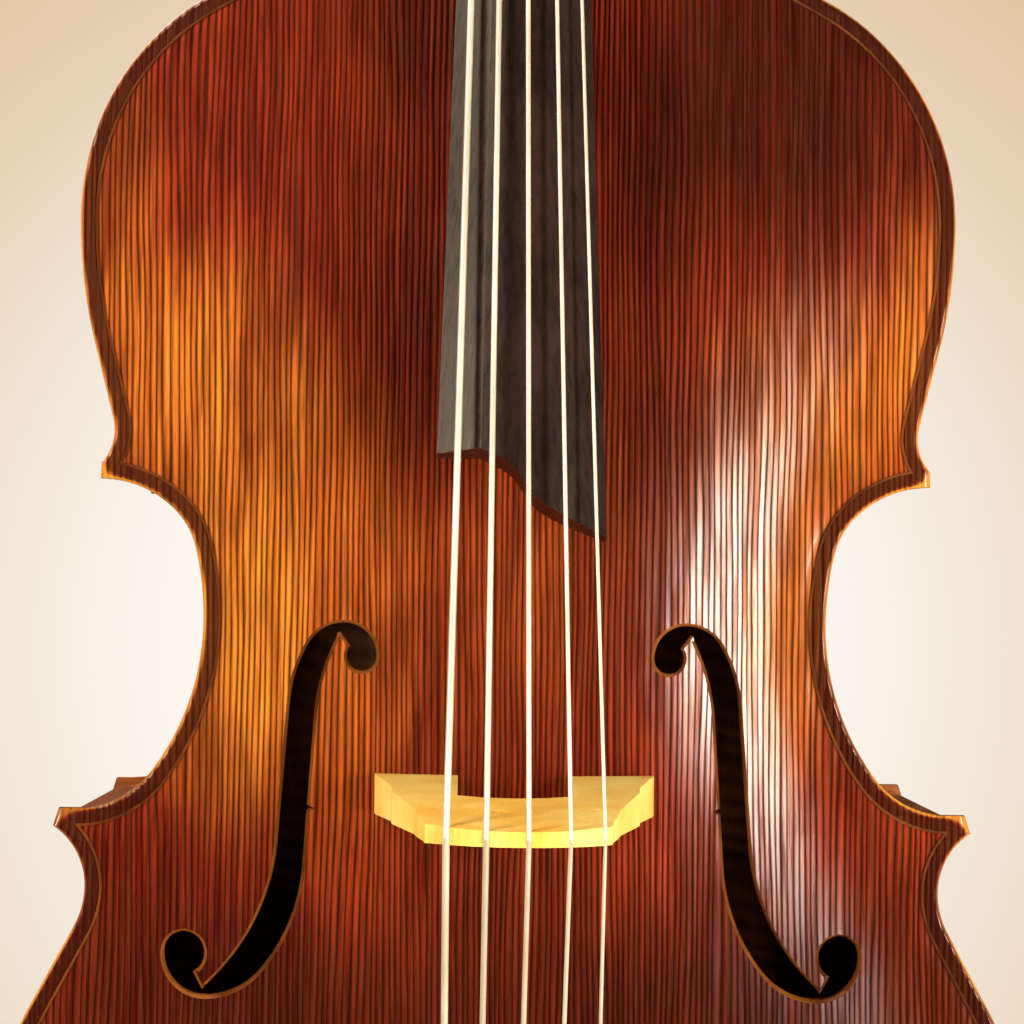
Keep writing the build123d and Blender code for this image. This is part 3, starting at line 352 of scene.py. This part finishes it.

# %% [markdown]
# The belly is spruce whose soft wood has sunk between the hard year rings, so the gloss varnish lies in
# fine ribs. The rings are counted in a UV map: u is the ring number, close near the centre joint and wide
# at the flanks, and v is the height in metres. The varnish runs from near black red to gold; the gold, also
# along the rim, is painted highlight where the lamps fall, and dark patches, ring grooves and the edge
# channel carry painted shade.

# %% Varnished spruce
def soft_spot(tree, vector, centre, size):
    """1 inside an ellipse of the body's front, falling smoothly to 0 at its edge."""
    parts = put(tree, "ShaderNodeSeparateXYZ", None, Vector=vector)
    dx = maths(tree, "DIVIDE", maths(tree, "SUBTRACT", parts.outputs[0], centre[0]), size[0])
    dz = maths(tree, "DIVIDE", maths(tree, "SUBTRACT", parts.outputs[2], centre[1]), size[1])
    far = maths(tree, "SQRT", plus(tree, times(tree, dx, dx), times(tree, dz, dz)))
    return spread(tree, far, 0.15, 1.0, 1.0, 0.0)


# Painted highlight: gold patches laid into the varnish colour where the lamps light the belly, on the right
# flank under the key, at the left waist and across the upper bout.
HIGHLIGHT_SPOTS = (
    ((-0.170, 0.79), (0.075, 0.15), 0.95), ((-0.20, 0.95), (0.10, 0.12), 0.65),
    ((-0.10, 0.80), (0.09, 0.18), 0.3), ((0.20, 0.95), (0.08, 0.10), 0.6),
    ((0.15, 0.84), (0.065, 0.20), 0.85), ((-0.12, 0.91), (0.06, 0.10), 0.25),
    ((0.03, 0.84), (0.10, 0.14), 0.15), ((-0.25, 1.07), (0.04, 0.12), 0.35),
    ((0.25, 1.00), (0.03, 0.12), 0.4),
)
# Painted shade: dark patches where the belly lies out of the lamps' light, at the upper right, down the
# centre and across the lower bout.
SHADE_SPOTS = (
    ((0.16, 1.15), (0.18, 0.19), 0.95), ((-0.06, 1.20), (0.13, 0.12), 0.5),
    ((-0.055, 0.96), (0.06, 0.14), 0.5), ((0.075, 0.98), (0.06, 0.22), 0.5),
    ((0.20, 0.57), (0.22, 0.12), 0.7), ((-0.22, 0.57), (0.20, 0.12), 0.65),
    ((0.0, 0.58), (0.22, 0.13), 0.6), ((0.0, 0.75), (0.08, 0.16), 0.35),
    ((0.22, 0.74), (0.06, 0.12), 0.3),
)
DEEP_RED, WARM_RED = (0.102, 0.0036, 0.0014, 1), (0.31, 0.029, 0.0038, 1)
GOLD, NEAR_BLACK = (0.64, 0.19, 0.019, 1), (0.034, 0.0022, 0.0014, 1)


def spots(tree, vector, plan):
    """Sum of weighted soft spots."""
    total = 0.0
    for centre, size, weight in plan:
        one = times(tree, soft_spot(tree, vector, centre, size), weight)
        total = plus(tree, one, total)
    return total


def spruce():
    """Deep red-brown gloss over ribbed spruce, with painted gold highlight where the lamps fall and along
    the rim, and painted shade in dark patches, grooves and the edge channel.
    """
    material, tree, shader = new_material("spruce_varnished")
    rings = put(tree, "ShaderNodeUVMap", {"uv_map": "rings"}).outputs[0]
    place = put(tree, "ShaderNodeTexCoord").outputs["Object"]
    ribs = group_in(tree, CORDUROY, Rings=rings)
    long_place = stretch(tree, place, (1.0, 1.0, 0.3))
    cloud = group_in(tree, BLOTCHES, Vector=long_place, Scale=14.0).outputs[0]
    # Painted highlight: the gold patches, made uneven by the cloud.
    gold = times(tree, spots(tree, place, HIGHLIGHT_SPOTS), spread(tree, cloud, 0.0, 0.9, 0.45, 1.15))
    # Painted shade: the sum of the shade patches.
    dark = spots(tree, place, SHADE_SPOTS)
    ring = spread(tree, ribs.outputs["Ring"], 0.3, 0.7)
    base = mix(tree, plus(tree, times(tree, cloud, 0.6), times(tree, ring, 0.4)),
               DEEP_RED, WARM_RED)
    # The painted highlight grows stronger on the rings and is laid over the base colour in gold.
    lit = times(tree, gold, plus(tree, times(tree, ring, 0.7), 0.5))
    base = mix(tree, maths(tree, "MINIMUM", lit, 1.0), base, GOLD)
    # Painted shade: the shade patches pull the colour towards near black.
    base = mix(tree, maths(tree, "MINIMUM", dark, 0.85), base, NEAR_BLACK)
    fleck = spread(tree, ribs.outputs["Fleck"], 0.3, 0.7, 0.6, 1.5)
    grey = put(tree, "ShaderNodeCombineColor", None, i0=fleck, i1=fleck, i2=fleck).outputs[0]
    base = mix(tree, 1.0, base, grey, "MULTIPLY")
    # Painted shade: the grooves between the ring ridges darkened almost to black.
    base = mix(tree, times(tree, ribs.outputs["Valley"], 0.88), base, (0.012, 0.0016, 0.0010, 1))
    edge = put(tree, "ShaderNodeAttribute", {"attribute_name": "edge_mm"}).outputs["Fac"]
    # Patches that break up the painted rim highlight below.
    rim_glow_patches = spread(tree, cloud, 0.2, 0.8, 0.35, 1.0)
    # Painted shade: the shallow channel inside the edge, between the rolled rim and the field, darkened
    # almost to black.
    channel_shade = times(tree, spread(tree, edge, 1.5, 3.2), spread(tree, edge, 9.0, 13.0, 1.0, 0.0))
    base = mix(tree, times(tree, channel_shade, 0.86), base, (0.030, 0.0040, 0.0026, 1))
    # Painted highlight: a gold glow along the rolled rim, where light grazes the edge, patchy along its
    # length.
    rim = times(tree, spread(tree, edge, 0.8, 2.0, 1.0, 0.0), rim_glow_patches)
    base = mix(tree, rim, base, (0.62, 0.24, 0.030, 1))
    tree.links.new(base, shader.inputs["Base Color"])
    bump = put(tree, "ShaderNodeBump", None, Height=ribs.outputs["Height"], Distance=0.0011, Strength=1.0)
    tree.links.new(bump.outputs[0], shader.inputs["Normal"])
    shader.inputs["Roughness"].default_value = 0.42
    shader.inputs["Specular IOR Level"].default_value = 0.12
    shader.inputs["Specular Tint"].default_value = (1.0, 0.46, 0.18, 1)
    patchy = spread(tree, plus(tree, times(tree, ribs.outputs["Ring"], 0.6),
                                times(tree, ribs.outputs["Fleck"], 0.4)), 0.40, 0.60, 0.12, 1.0)
    open_ridge = maths(tree, "SUBTRACT", 1.0, ribs.outputs["Valley"], clamp=True)
    open_ridge = times(tree, open_ridge, maths(tree, "SUBTRACT", 1.0, channel_shade))
    tree.links.new(times(tree, patchy, open_ridge), shader.inputs["Coat Weight"])
    shader.inputs["Coat Roughness"].default_value = 0.15
    shader.inputs["Coat IOR"].default_value = 1.45
    return material


def plain_wood(name, dark, light, fineness=260.0, rough=(0.5, 0.65), bump=0.0002, coat=0.0, flame=0.0,
               along=0.03, gloss=0.3):
    """A wood from two colours, with fibres and, if asked, flame."""
    material, tree, shader = new_material(name)
    place = put(tree, "ShaderNodeTexCoord").outputs["Object"]
    fibre = group_in(tree, STREAKS, Vector=place, Fineness=fineness, Along=along).outputs[0]
    cloud = group_in(tree, BLOTCHES, Vector=place, Scale=9.0).outputs[0]
    shade = plus(tree, times(tree, fibre, 0.6), times(tree, cloud, 0.35))
    if flame:
        band = group_in(tree, FLAME, Vector=place).outputs[0]
        shade = plus(tree, shade, times(tree, maths(tree, "SUBTRACT", band, 0.5), flame))
    base = mix(tree, spread(tree, shade, 0.15, 0.85), dark, light)
    tree.links.new(base, shader.inputs["Base Color"])
    tree.links.new(spread(tree, fibre, 0.3, 0.7, *rough), shader.inputs["Roughness"])
    node = put(tree, "ShaderNodeBump", None, Height=fibre, Distance=bump, Strength=0.6)
    tree.links.new(node.outputs[0], shader.inputs["Normal"])
    shader.inputs["Coat Weight"].default_value = coat
    shader.inputs["Coat Roughness"].default_value = 0.25
    shader.inputs["Specular IOR Level"].default_value = gloss
    shader.inputs["Specular Tint"].default_value = (1.0, 0.85, 0.68, 1)
    return material


def metal(name, colour, rough=(0.22, 0.42), scale=60.0, scratch=0.00004, metallic=1.0):
    """A worn metal: colour with cloudy tarnish and fine scratches."""
    material, tree, shader = new_material(name)
    place = put(tree, "ShaderNodeTexCoord").outputs["Object"]
    cloud = group_in(tree, BLOTCHES, Vector=place, Scale=scale).outputs[0]
    fine = noise(tree, stretch(tree, place, (900.0, 900.0, 90.0)), 1.0, 3.0)
    dull = tuple(c * 0.55 for c in colour[:3]) + (1,)
    tree.links.new(mix(tree, cloud, colour, dull), shader.inputs["Base Color"])
    tree.links.new(spread(tree, cloud, 0.0, 1.0, *rough), shader.inputs["Roughness"])
    node = put(tree, "ShaderNodeBump", None, Height=fine, Distance=scratch, Strength=0.5)
    tree.links.new(node.outputs[0], shader.inputs["Normal"])
    shader.inputs["Metallic"].default_value = metallic
    return material


WINDING_PITCH = 0.0011


def wound_steel():
    """Flat-wound string: creamy bright metal with fine turns across it."""
    material, tree, shader = new_material("string_metal")
    place = put(tree, "ShaderNodeTexCoord").outputs["Object"]
    parts = put(tree, "ShaderNodeSeparateXYZ", None, Vector=place)
    turns = maths(tree, "SINE", times(tree, parts.outputs[2], 2 * math.pi / WINDING_PITCH))
    cloud = group_in(tree, BLOTCHES, Vector=stretch(tree, place, (1.0, 1.0, 0.2)), Scale=30.0).outputs[0]
    base = mix(tree, cloud, (0.98, 0.86, 0.66, 1), (0.80, 0.66, 0.46, 1))
    tree.links.new(base, shader.inputs["Base Color"])
    bump = put(tree, "ShaderNodeBump", None, Height=turns, Distance=0.00003, Strength=0.4)
    tree.links.new(bump.outputs[0], shader.inputs["Normal"])
    shader.inputs["Metallic"].default_value = 0.55
    shader.inputs["Roughness"].default_value = 0.42
    return material


# Each wood: dark and light colour, fibre fineness, roughness range, then what else sets it apart.
WOODS = {
    "maple_varnished": ((0.115, 0.022, 0.005, 1), (0.36, 0.095, 0.018, 1), 240.0, (0.3, 0.42),
                        {"bump": 0.0001, "coat": 0.25, "flame": 0.5}),
    "ebony": ((0.012, 0.005, 0.005, 1), (0.030, 0.015, 0.012, 1), 320.0, (0.24, 0.34), {"bump": 0.0001}),
    "bridge_maple": ((0.86, 0.44, 0.045, 1), (1.0, 0.76, 0.22, 1), 420.0, (0.45, 0.6), {}),
    "purfling": ((0.05, 0.011, 0.003, 1), (0.17, 0.042, 0.007, 1), 300.0, (0.4, 0.5), {"gloss": 0.1}),
    "inner_spruce": ((0.42, 0.26, 0.12, 1), (0.72, 0.52, 0.30, 1), 300.0, (0.6, 0.75), {}),
    "rubber": ((0.010, 0.010, 0.010, 1), (0.028, 0.028, 0.028, 1), 500.0, (0.7, 0.85), {"along": 1.0}),
    "f_hole_wall": ((0.07, 0.014, 0.003, 1), (0.34, 0.105, 0.016, 1), 60.0, (0.24, 0.34), {"gloss": 1.0}),
}
FINISH = {
    name: plain_wood(name, dark, light, fineness, rough, **more)
    for name, (dark, light, fineness, rough, more) in WOODS.items()
}
FINISH["spruce_varnished"] = spruce()
FINISH["string_metal"] = wound_steel()
FINISH["brass"] = metal("brass", (0.80, 0.56, 0.22, 1), (0.20, 0.45), 45.0)
FINISH["nickel_steel"] = metal("nickel_steel", (0.66, 0.66, 0.68, 1), (0.16, 0.34), 50.0)
for part in frame["record"]["subparts"]:
    node = nodes[part["node"]]
    node.data.materials.clear()
    node.data.materials.append(FINISH[part["material_slot"]])
print("finishes:", list(FINISH))

# %% [markdown]
# The belly itself: rows follow the outline from the neck down, columns run across and crowd towards the
# edge, where the plate rolls over in a soft rim inside a shallow channel. The f-holes are cut afterwards.

# %% The f-hole's outline
F_TOP_EYE, F_TOP_R = (93.5, 92.0), 9.3
F_LOW_EYE, F_LOW_R = (200.0, -90.0), 12.8
F_OUTER = ((20.0, -90.0), (26.0, -60.0), (85.0, -26.0), (84.0,), (130.0, 40.0), (12.0,))
F_INNER = ((25.0, -90.0), (45.0, -50.0), (110.0, -36.5), (90.0,), (120.0, 22.5), (7.0,))
F_TOP_CUT, F_LOW_CUT = 40.0, -118.0


def eye_arc(centre, radius, start, end):
    """Points round an eye from one angle to another, in degrees."""
    angles = np.radians(np.linspace(start, end, 40))
    return np.array(centre) + radius * np.stack([np.cos(angles), np.sin(angles)], 1)


def f_outline():
    """Closed line of the right f-hole."""
    outer = walk((F_TOP_EYE[0] - F_TOP_R, F_TOP_EYE[1]), 90, F_OUTER, 1.5)
    inner = walk((F_LOW_EYE[0] + F_LOW_R, F_LOW_EYE[1]), -90, F_INNER, 1.5)
    low = eye_arc(F_LOW_EYE, F_LOW_R, 360 + F_LOW_CUT, 0)
    top = eye_arc(F_TOP_EYE, F_TOP_R, F_TOP_CUT, -180)
    line = np.concatenate([outer, low[:-1], inner, top[:-1]])
    notch = np.argmin(np.abs(line[:, 1]) + 1e3 * (np.abs(line[:, 0] - 125.0) > 6))
    line[notch] += (-3.2, 0.0)
    return line


# %% The belly
RIM_R = 3.2
BEVEL_WIDE, BEVEL_LIFT, BEVEL_DEEP = 2.0, 0.4, 2.2
CUTTER_REACH = 45.0
RING_NEAR, RING_GROW, RING_FAR = 3.5, 0.55, 300.0


def rim_drop(d):
    """Depth under the arch at distance d from the edge: a quarter round, then a soft channel."""
    inside = np.clip(RIM_R - d, 0, RIM_R)
    roll = RIM_R - np.sqrt(RIM_R ** 2 - inside ** 2)
    channel = 0.9 * np.exp(-((d - 10.5) / 4.5) ** 2)
    return roll + channel


def ring_number(x):
    """Year rings counted from the centre joint: the integral of 1 / spacing."""
    return np.sign(x) * RING_FAR / RING_GROW * np.log(1 + RING_GROW * np.abs(x) / RING_FAR / RING_NEAR)


def plate_rows():
    """Half widths and heights of the rows, from the shoulder to the endpin."""
    return HALF[HALF[:, 0] > 5.0]


def across(width):
    """Columns across a row: close at the edges, even in the middle."""
    steps = np.array([0, 0.25, 0.7, 1.3, 2.1, 3.2, 5.0, 7.5, 10.0, 12.5, 15.5, 19.0, 24.0])
    room = np.minimum(1.0, width / 40.0)[:, None]
    middle = np.linspace(-1, 1, 36)[None, 1:-1] * (width[:, None] - steps[-1] * room)
    left = -width[:, None] + steps * room
    return np.concatenate([left, middle, -left[:, ::-1]], 1)


def plate_surface():
    """Grid of (x, s), its arch share and its distance from the edge."""
    rows = plate_rows()
    x = across(rows[:, 0])
    s = np.repeat(rows[:, 1:], x.shape[1], 1)
    return x, s, arch(x, s), edge_distance(x, s, walk_dense(LOOP))


def walk_dense(line):
    """The outline with points every half millimetre or so."""
    parts = [np.linspace(a, b, 5)[:-1] for a, b in zip(line[:-1], line[1:])]
    return np.concatenate(parts)


def closed_plate(x, s, front, back):
    """Vertices and quads of a plate between two depth grids, closed round its edge."""
    rows, cols = x.shape
    sheet = [np.stack([x, y, s + BRIDGE_Z], -1).reshape(-1, 3) for y in (front, back)]
    near = grid_faces(rows, cols)
    far = near[:, ::-1] + rows * cols
    border = np.concatenate([
        np.arange(cols), np.arange(1, rows) * cols + cols - 1,
        np.arange(cols - 2, -1, -1) + (rows - 1) * cols, np.arange(rows - 2, 0, -1) * cols,
    ])
    after = np.roll(border, -1)
    wall = np.stack([after, border, border + rows * cols, after + rows * cols], -1)
    return np.concatenate(sheet) * MM, np.concatenate([near, far, wall])[:, ::-1]


def give_rings(obj):
    """UV map: ring number across, metres along."""
    layer = obj.data.uv_layers.new(name="rings")
    count = len(obj.data.loops)
    index = np.empty(count, int)
    obj.data.loops.foreach_get("vertex_index", index)
    place = np.empty(len(obj.data.vertices) * 3)
    obj.data.vertices.foreach_get("co", place)
    place = place.reshape(-1, 3)[index]
    uv = np.stack([ring_number(place[:, 0] / MM), place[:, 2]], 1)
    layer.data.foreach_set("uv", uv.ravel())


def give_edge(obj):
    """Attribute edge_mm: distance from the plate's outer edge."""
    place = np.empty(len(obj.data.vertices) * 3)
    obj.data.vertices.foreach_get("co", place)
    x, s = place[0::3] / MM, place[2::3] / MM - BRIDGE_Z
    layer = obj.data.attributes.new("edge_mm", "FLOAT", "POINT")
    layer.data.foreach_set("value", edge_distance(x, s, walk_dense(LOOP)).astype(np.float32))


def offset_line(line, distance):
    """A closed line moved outwards along its own normals, which are averaged over five points."""
    along = np.roll(line, -2, 0) - np.roll(line, 2, 0)
    along /= np.linalg.norm(along, axis=1, keepdims=True)
    turn = np.sum(line[:, 0] * np.roll(line[:, 1], -1) - np.roll(line[:, 0], -1) * line[:, 1])
    return line + np.sign(turn) * distance * np.stack([along[:, 1], -along[:, 0]], 1)


def cutter(line, material):
    """Tall prism over a closed line, flared at the belly's surface so that it leaves a bevelled edge."""
    surface = FRONT_Y - TOP_ARCH * arch(line[:, 0], line[:, 1])
    wide = offset_line(line, BEVEL_WIDE)
    rings = (
        (wide, surface - CUTTER_REACH), (wide, surface - BEVEL_LIFT),
        (line, surface + BEVEL_DEEP), (line, surface + CUTTER_REACH),
    )
    points = np.concatenate([np.stack([r[:, 0], y, r[:, 1] + BRIDGE_Z], 1) for r, y in rings]) * MM
    count = len(line)
    around = np.arange(count)
    after = (around + 1) % count
    band = np.stack([around, after, after + count, around + count], 1)
    steps = len(rings) - 1
    sides = [band + k * count for k in range(steps)]
    caps = [around[::-1].tolist(), (around + steps * count).tolist()]
    mesh = bpy.data.meshes.new("cutter")
    mesh.from_pydata(points.tolist(), [], np.concatenate(sides).tolist() + caps)
    mesh.materials.append(material)
    shape = bmesh.new()
    shape.from_mesh(mesh)
    bmesh.ops.recalc_face_normals(shape, faces=shape.faces)
    shape.to_mesh(mesh)
    shape.free()
    obj = bpy.data.objects.new("cutter", mesh)
    bpy.context.scene.collection.objects.link(obj)
    return obj


def cut(obj, tool):
    """Boolean difference, applied, with the cut walls in the tool's own finish."""
    modifier = obj.modifiers.new("cut", "BOOLEAN")
    modifier.operation = "DIFFERENCE"
    modifier.solver = "MANIFOLD"
    modifier.object = tool
    modifier.material_mode = "TRANSFER"
    shape = bpy.data.meshes.new_from_object(obj.evaluated_get(bpy.context.evaluated_depsgraph_get()))
    obj.modifiers.remove(modifier)
    obj.data = shape
    bpy.data.objects.remove(tool)


def belly():
    """The top plate with its f-holes."""
    x, s, share, d = plate_surface()
    front = FRONT_Y - TOP_ARCH * share + rim_drop(d)
    back = np.full_like(front, FRONT_Y + TOP_EDGE) - TOP_ARCH * share
    vertices, faces = closed_plate(x, s, front, back)
    obj = mesh_object("belly", vertices, faces, FINISH["spruce_varnished"])
    give_rings(obj)
    line = f_outline()
    for side in (1, -1):
        cut(obj, cutter(line * (side, 1), FINISH["f_hole_wall"]))
    obj.data.set_sharp_from_angle(angle=math.radians(38))
    give_edge(obj)
    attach(obj, "body")
    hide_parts("top_plate")
    return obj


BELLY = belly()
print("belly faces:", len(BELLY.data.polygons))

# %% [markdown]
# The stage: a pale floor and wall, soft lamps and the camera. The camera stands a little left of the
# centre line, level with the middle of the waist, and looks slightly up and to the right.

# %% Floor, backdrop and world
CREAM = (0.76, 0.56, 0.36, 1)
WORLD_LIGHT = 0.10


def stage_material():
    """Pale wall: a fixed glow to the camera, cream at the edges and near white in the middle as painted
    light falloff, dim in the varnish's mirror, clear from behind.
    """
    material, tree, shader = new_material("stage_white")
    shader.inputs["Base Color"].default_value = (0.86, 0.82, 0.75, 1)
    shader.inputs["Roughness"].default_value = 0.9
    place = put(tree, "ShaderNodeTexCoord").outputs["Object"]
    # Painted light: the wall glows to the camera, near white in the middle and falling off to cream at the
    # edges.
    edge = soft_spot(tree, place, (0.0, 0.76), (1.35, 1.35))
    path = put(tree, "ShaderNodeLightPath")
    seen = put(tree, "ShaderNodeEmission", None, Strength=1.0)
    tree.links.new(mix(tree, edge, CREAM, (1.0, 0.985, 0.94, 1)), seen.inputs["Color"])
    # Painted reflection: to glossy rays the wall glows a fixed dim warm brown.
    mirrored = put(tree, "ShaderNodeEmission", None, Color=(0.10, 0.06, 0.03, 1), Strength=1.0)
    first = put(tree, "ShaderNodeMixShader", None, i0=path.outputs["Is Glossy Ray"])
    tree.links.new(shader.outputs[0], first.inputs[1])
    tree.links.new(mirrored.outputs[0], first.inputs[2])
    second = put(tree, "ShaderNodeMixShader", None, i0=path.outputs["Is Camera Ray"])
    tree.links.new(first.outputs[0], second.inputs[1])
    tree.links.new(seen.outputs[0], second.inputs[2])
    clear = put(tree, "ShaderNodeBsdfTransparent")
    behind = put(tree, "ShaderNodeNewGeometry").outputs["Backfacing"]
    third = put(tree, "ShaderNodeMixShader", None, i0=behind)
    tree.links.new(second.outputs[0], third.inputs[1])
    tree.links.new(clear.outputs[0], third.inputs[2])
    tree.links.new(third.outputs[0], tree.nodes["Material Output"].inputs["Surface"])
    return material


def backdrop():
    """Floor that curves up into a wall behind the instrument: a profile swept across."""
    angle = np.linspace(0, math.pi / 2, 24)
    bend = np.stack([0.9 + 0.8 * np.sin(angle), 0.8 - 0.8 * np.cos(angle)], 1)
    profile = np.concatenate([[[-4.0, 0.0]], bend, [[1.7, 5.0]]])
    across_x = np.linspace(-4.5, 4.5, 2)
    x, p = np.meshgrid(across_x, np.arange(len(profile)))
    points = np.stack([x, profile[p, 0], profile[p, 1]], -1).reshape(-1, 3)
    obj = mesh_object("backdrop", points, grid_faces(len(profile), 2), stage_material())
    return obj


def light_world():
    """Dim even light from all round; the camera sees the wall's cream instead."""
    world = bpy.data.worlds.new("studio")
    bpy.context.scene.world = world
    world.use_nodes = True
    tree = world.node_tree
    seen = put(tree, "ShaderNodeLightPath").outputs["Is Camera Ray"]
    background = tree.nodes["Background"]
    tree.links.new(mix(tree, seen, (1.0, 0.96, 0.90, 1), CREAM), background.inputs["Color"])
    tree.links.new(spread(tree, seen, 0.0, 1.0, WORLD_LIGHT, 1.0), background.inputs["Strength"])
    return world


def softbox(name, place, aim, size, watts, colour=(1.0, 0.93, 0.82)):
    """Rectangular lamp pointed at a spot."""
    lamp = bpy.data.lights.new(name, "AREA")
    lamp.shape = "RECTANGLE"
    lamp.size, lamp.size_y = size
    lamp.energy = watts
    lamp.color = colour
    obj = bpy.data.objects.new(name, lamp)
    bpy.context.scene.collection.objects.link(obj)
    obj.location = place
    obj.visible_camera = False
    way = mathutils.Vector(aim) - mathutils.Vector(place)
    obj.rotation_euler = way.to_track_quat("-Z", "Y").to_euler()
    return obj


backdrop()
light_world()
softbox("key", (1.93, -2.3, 0.76), (0.1, -0.1, 0.78), (0.5, 1.25), 108)
softbox("left", (-1.9, -1.7, 1.65), (-0.1, -0.1, 0.95), (0.5, 0.9), 40)
softbox("high", (-1.5, -1.6, 2.9), (0, 0, 0.8), (0.8, 0.8), 38)
softbox("wall", (0.0, 0.4, 3.6), (0, 1.7, 1.0), (3.5, 0.6), 60)
softbox("rear", (-1.3, 1.3, 2.2), (0, 0.2, 0.8), (1.4, 1.4), 30)

# %% Camera
CAMERA_PLACE = (-0.0225, (FRONT_Y - 1298.0) * MM, (BRIDGE_Z + 132.7) * MM)
CAMERA_AIM = (-0.0028, FRONT_Y * MM, (BRIDGE_Z + 180.9) * MM)
LENS, ROLL = 73.93, 0.62


def make_camera():
    """Camera of known place, aim, lens and small roll."""
    data = bpy.data.cameras.new("camera")
    data.lens, data.sensor_width = LENS, 36.0
    obj = bpy.data.objects.new("camera", data)
    bpy.context.scene.collection.objects.link(obj)
    way = mathutils.Vector(CAMERA_AIM) - mathutils.Vector(CAMERA_PLACE)
    turn = way.to_track_quat("-Z", "Y").to_matrix() @ mathutils.Matrix.Rotation(math.radians(ROLL), 3, "Z")
    obj.matrix_world = mathutils.Matrix.LocRotScale(CAMERA_PLACE, turn, None)
    bpy.context.scene.camera = obj
    return obj


make_camera()
bpy.context.scene.view_settings.view_transform = "Standard"
bpy.context.view_layer.update()
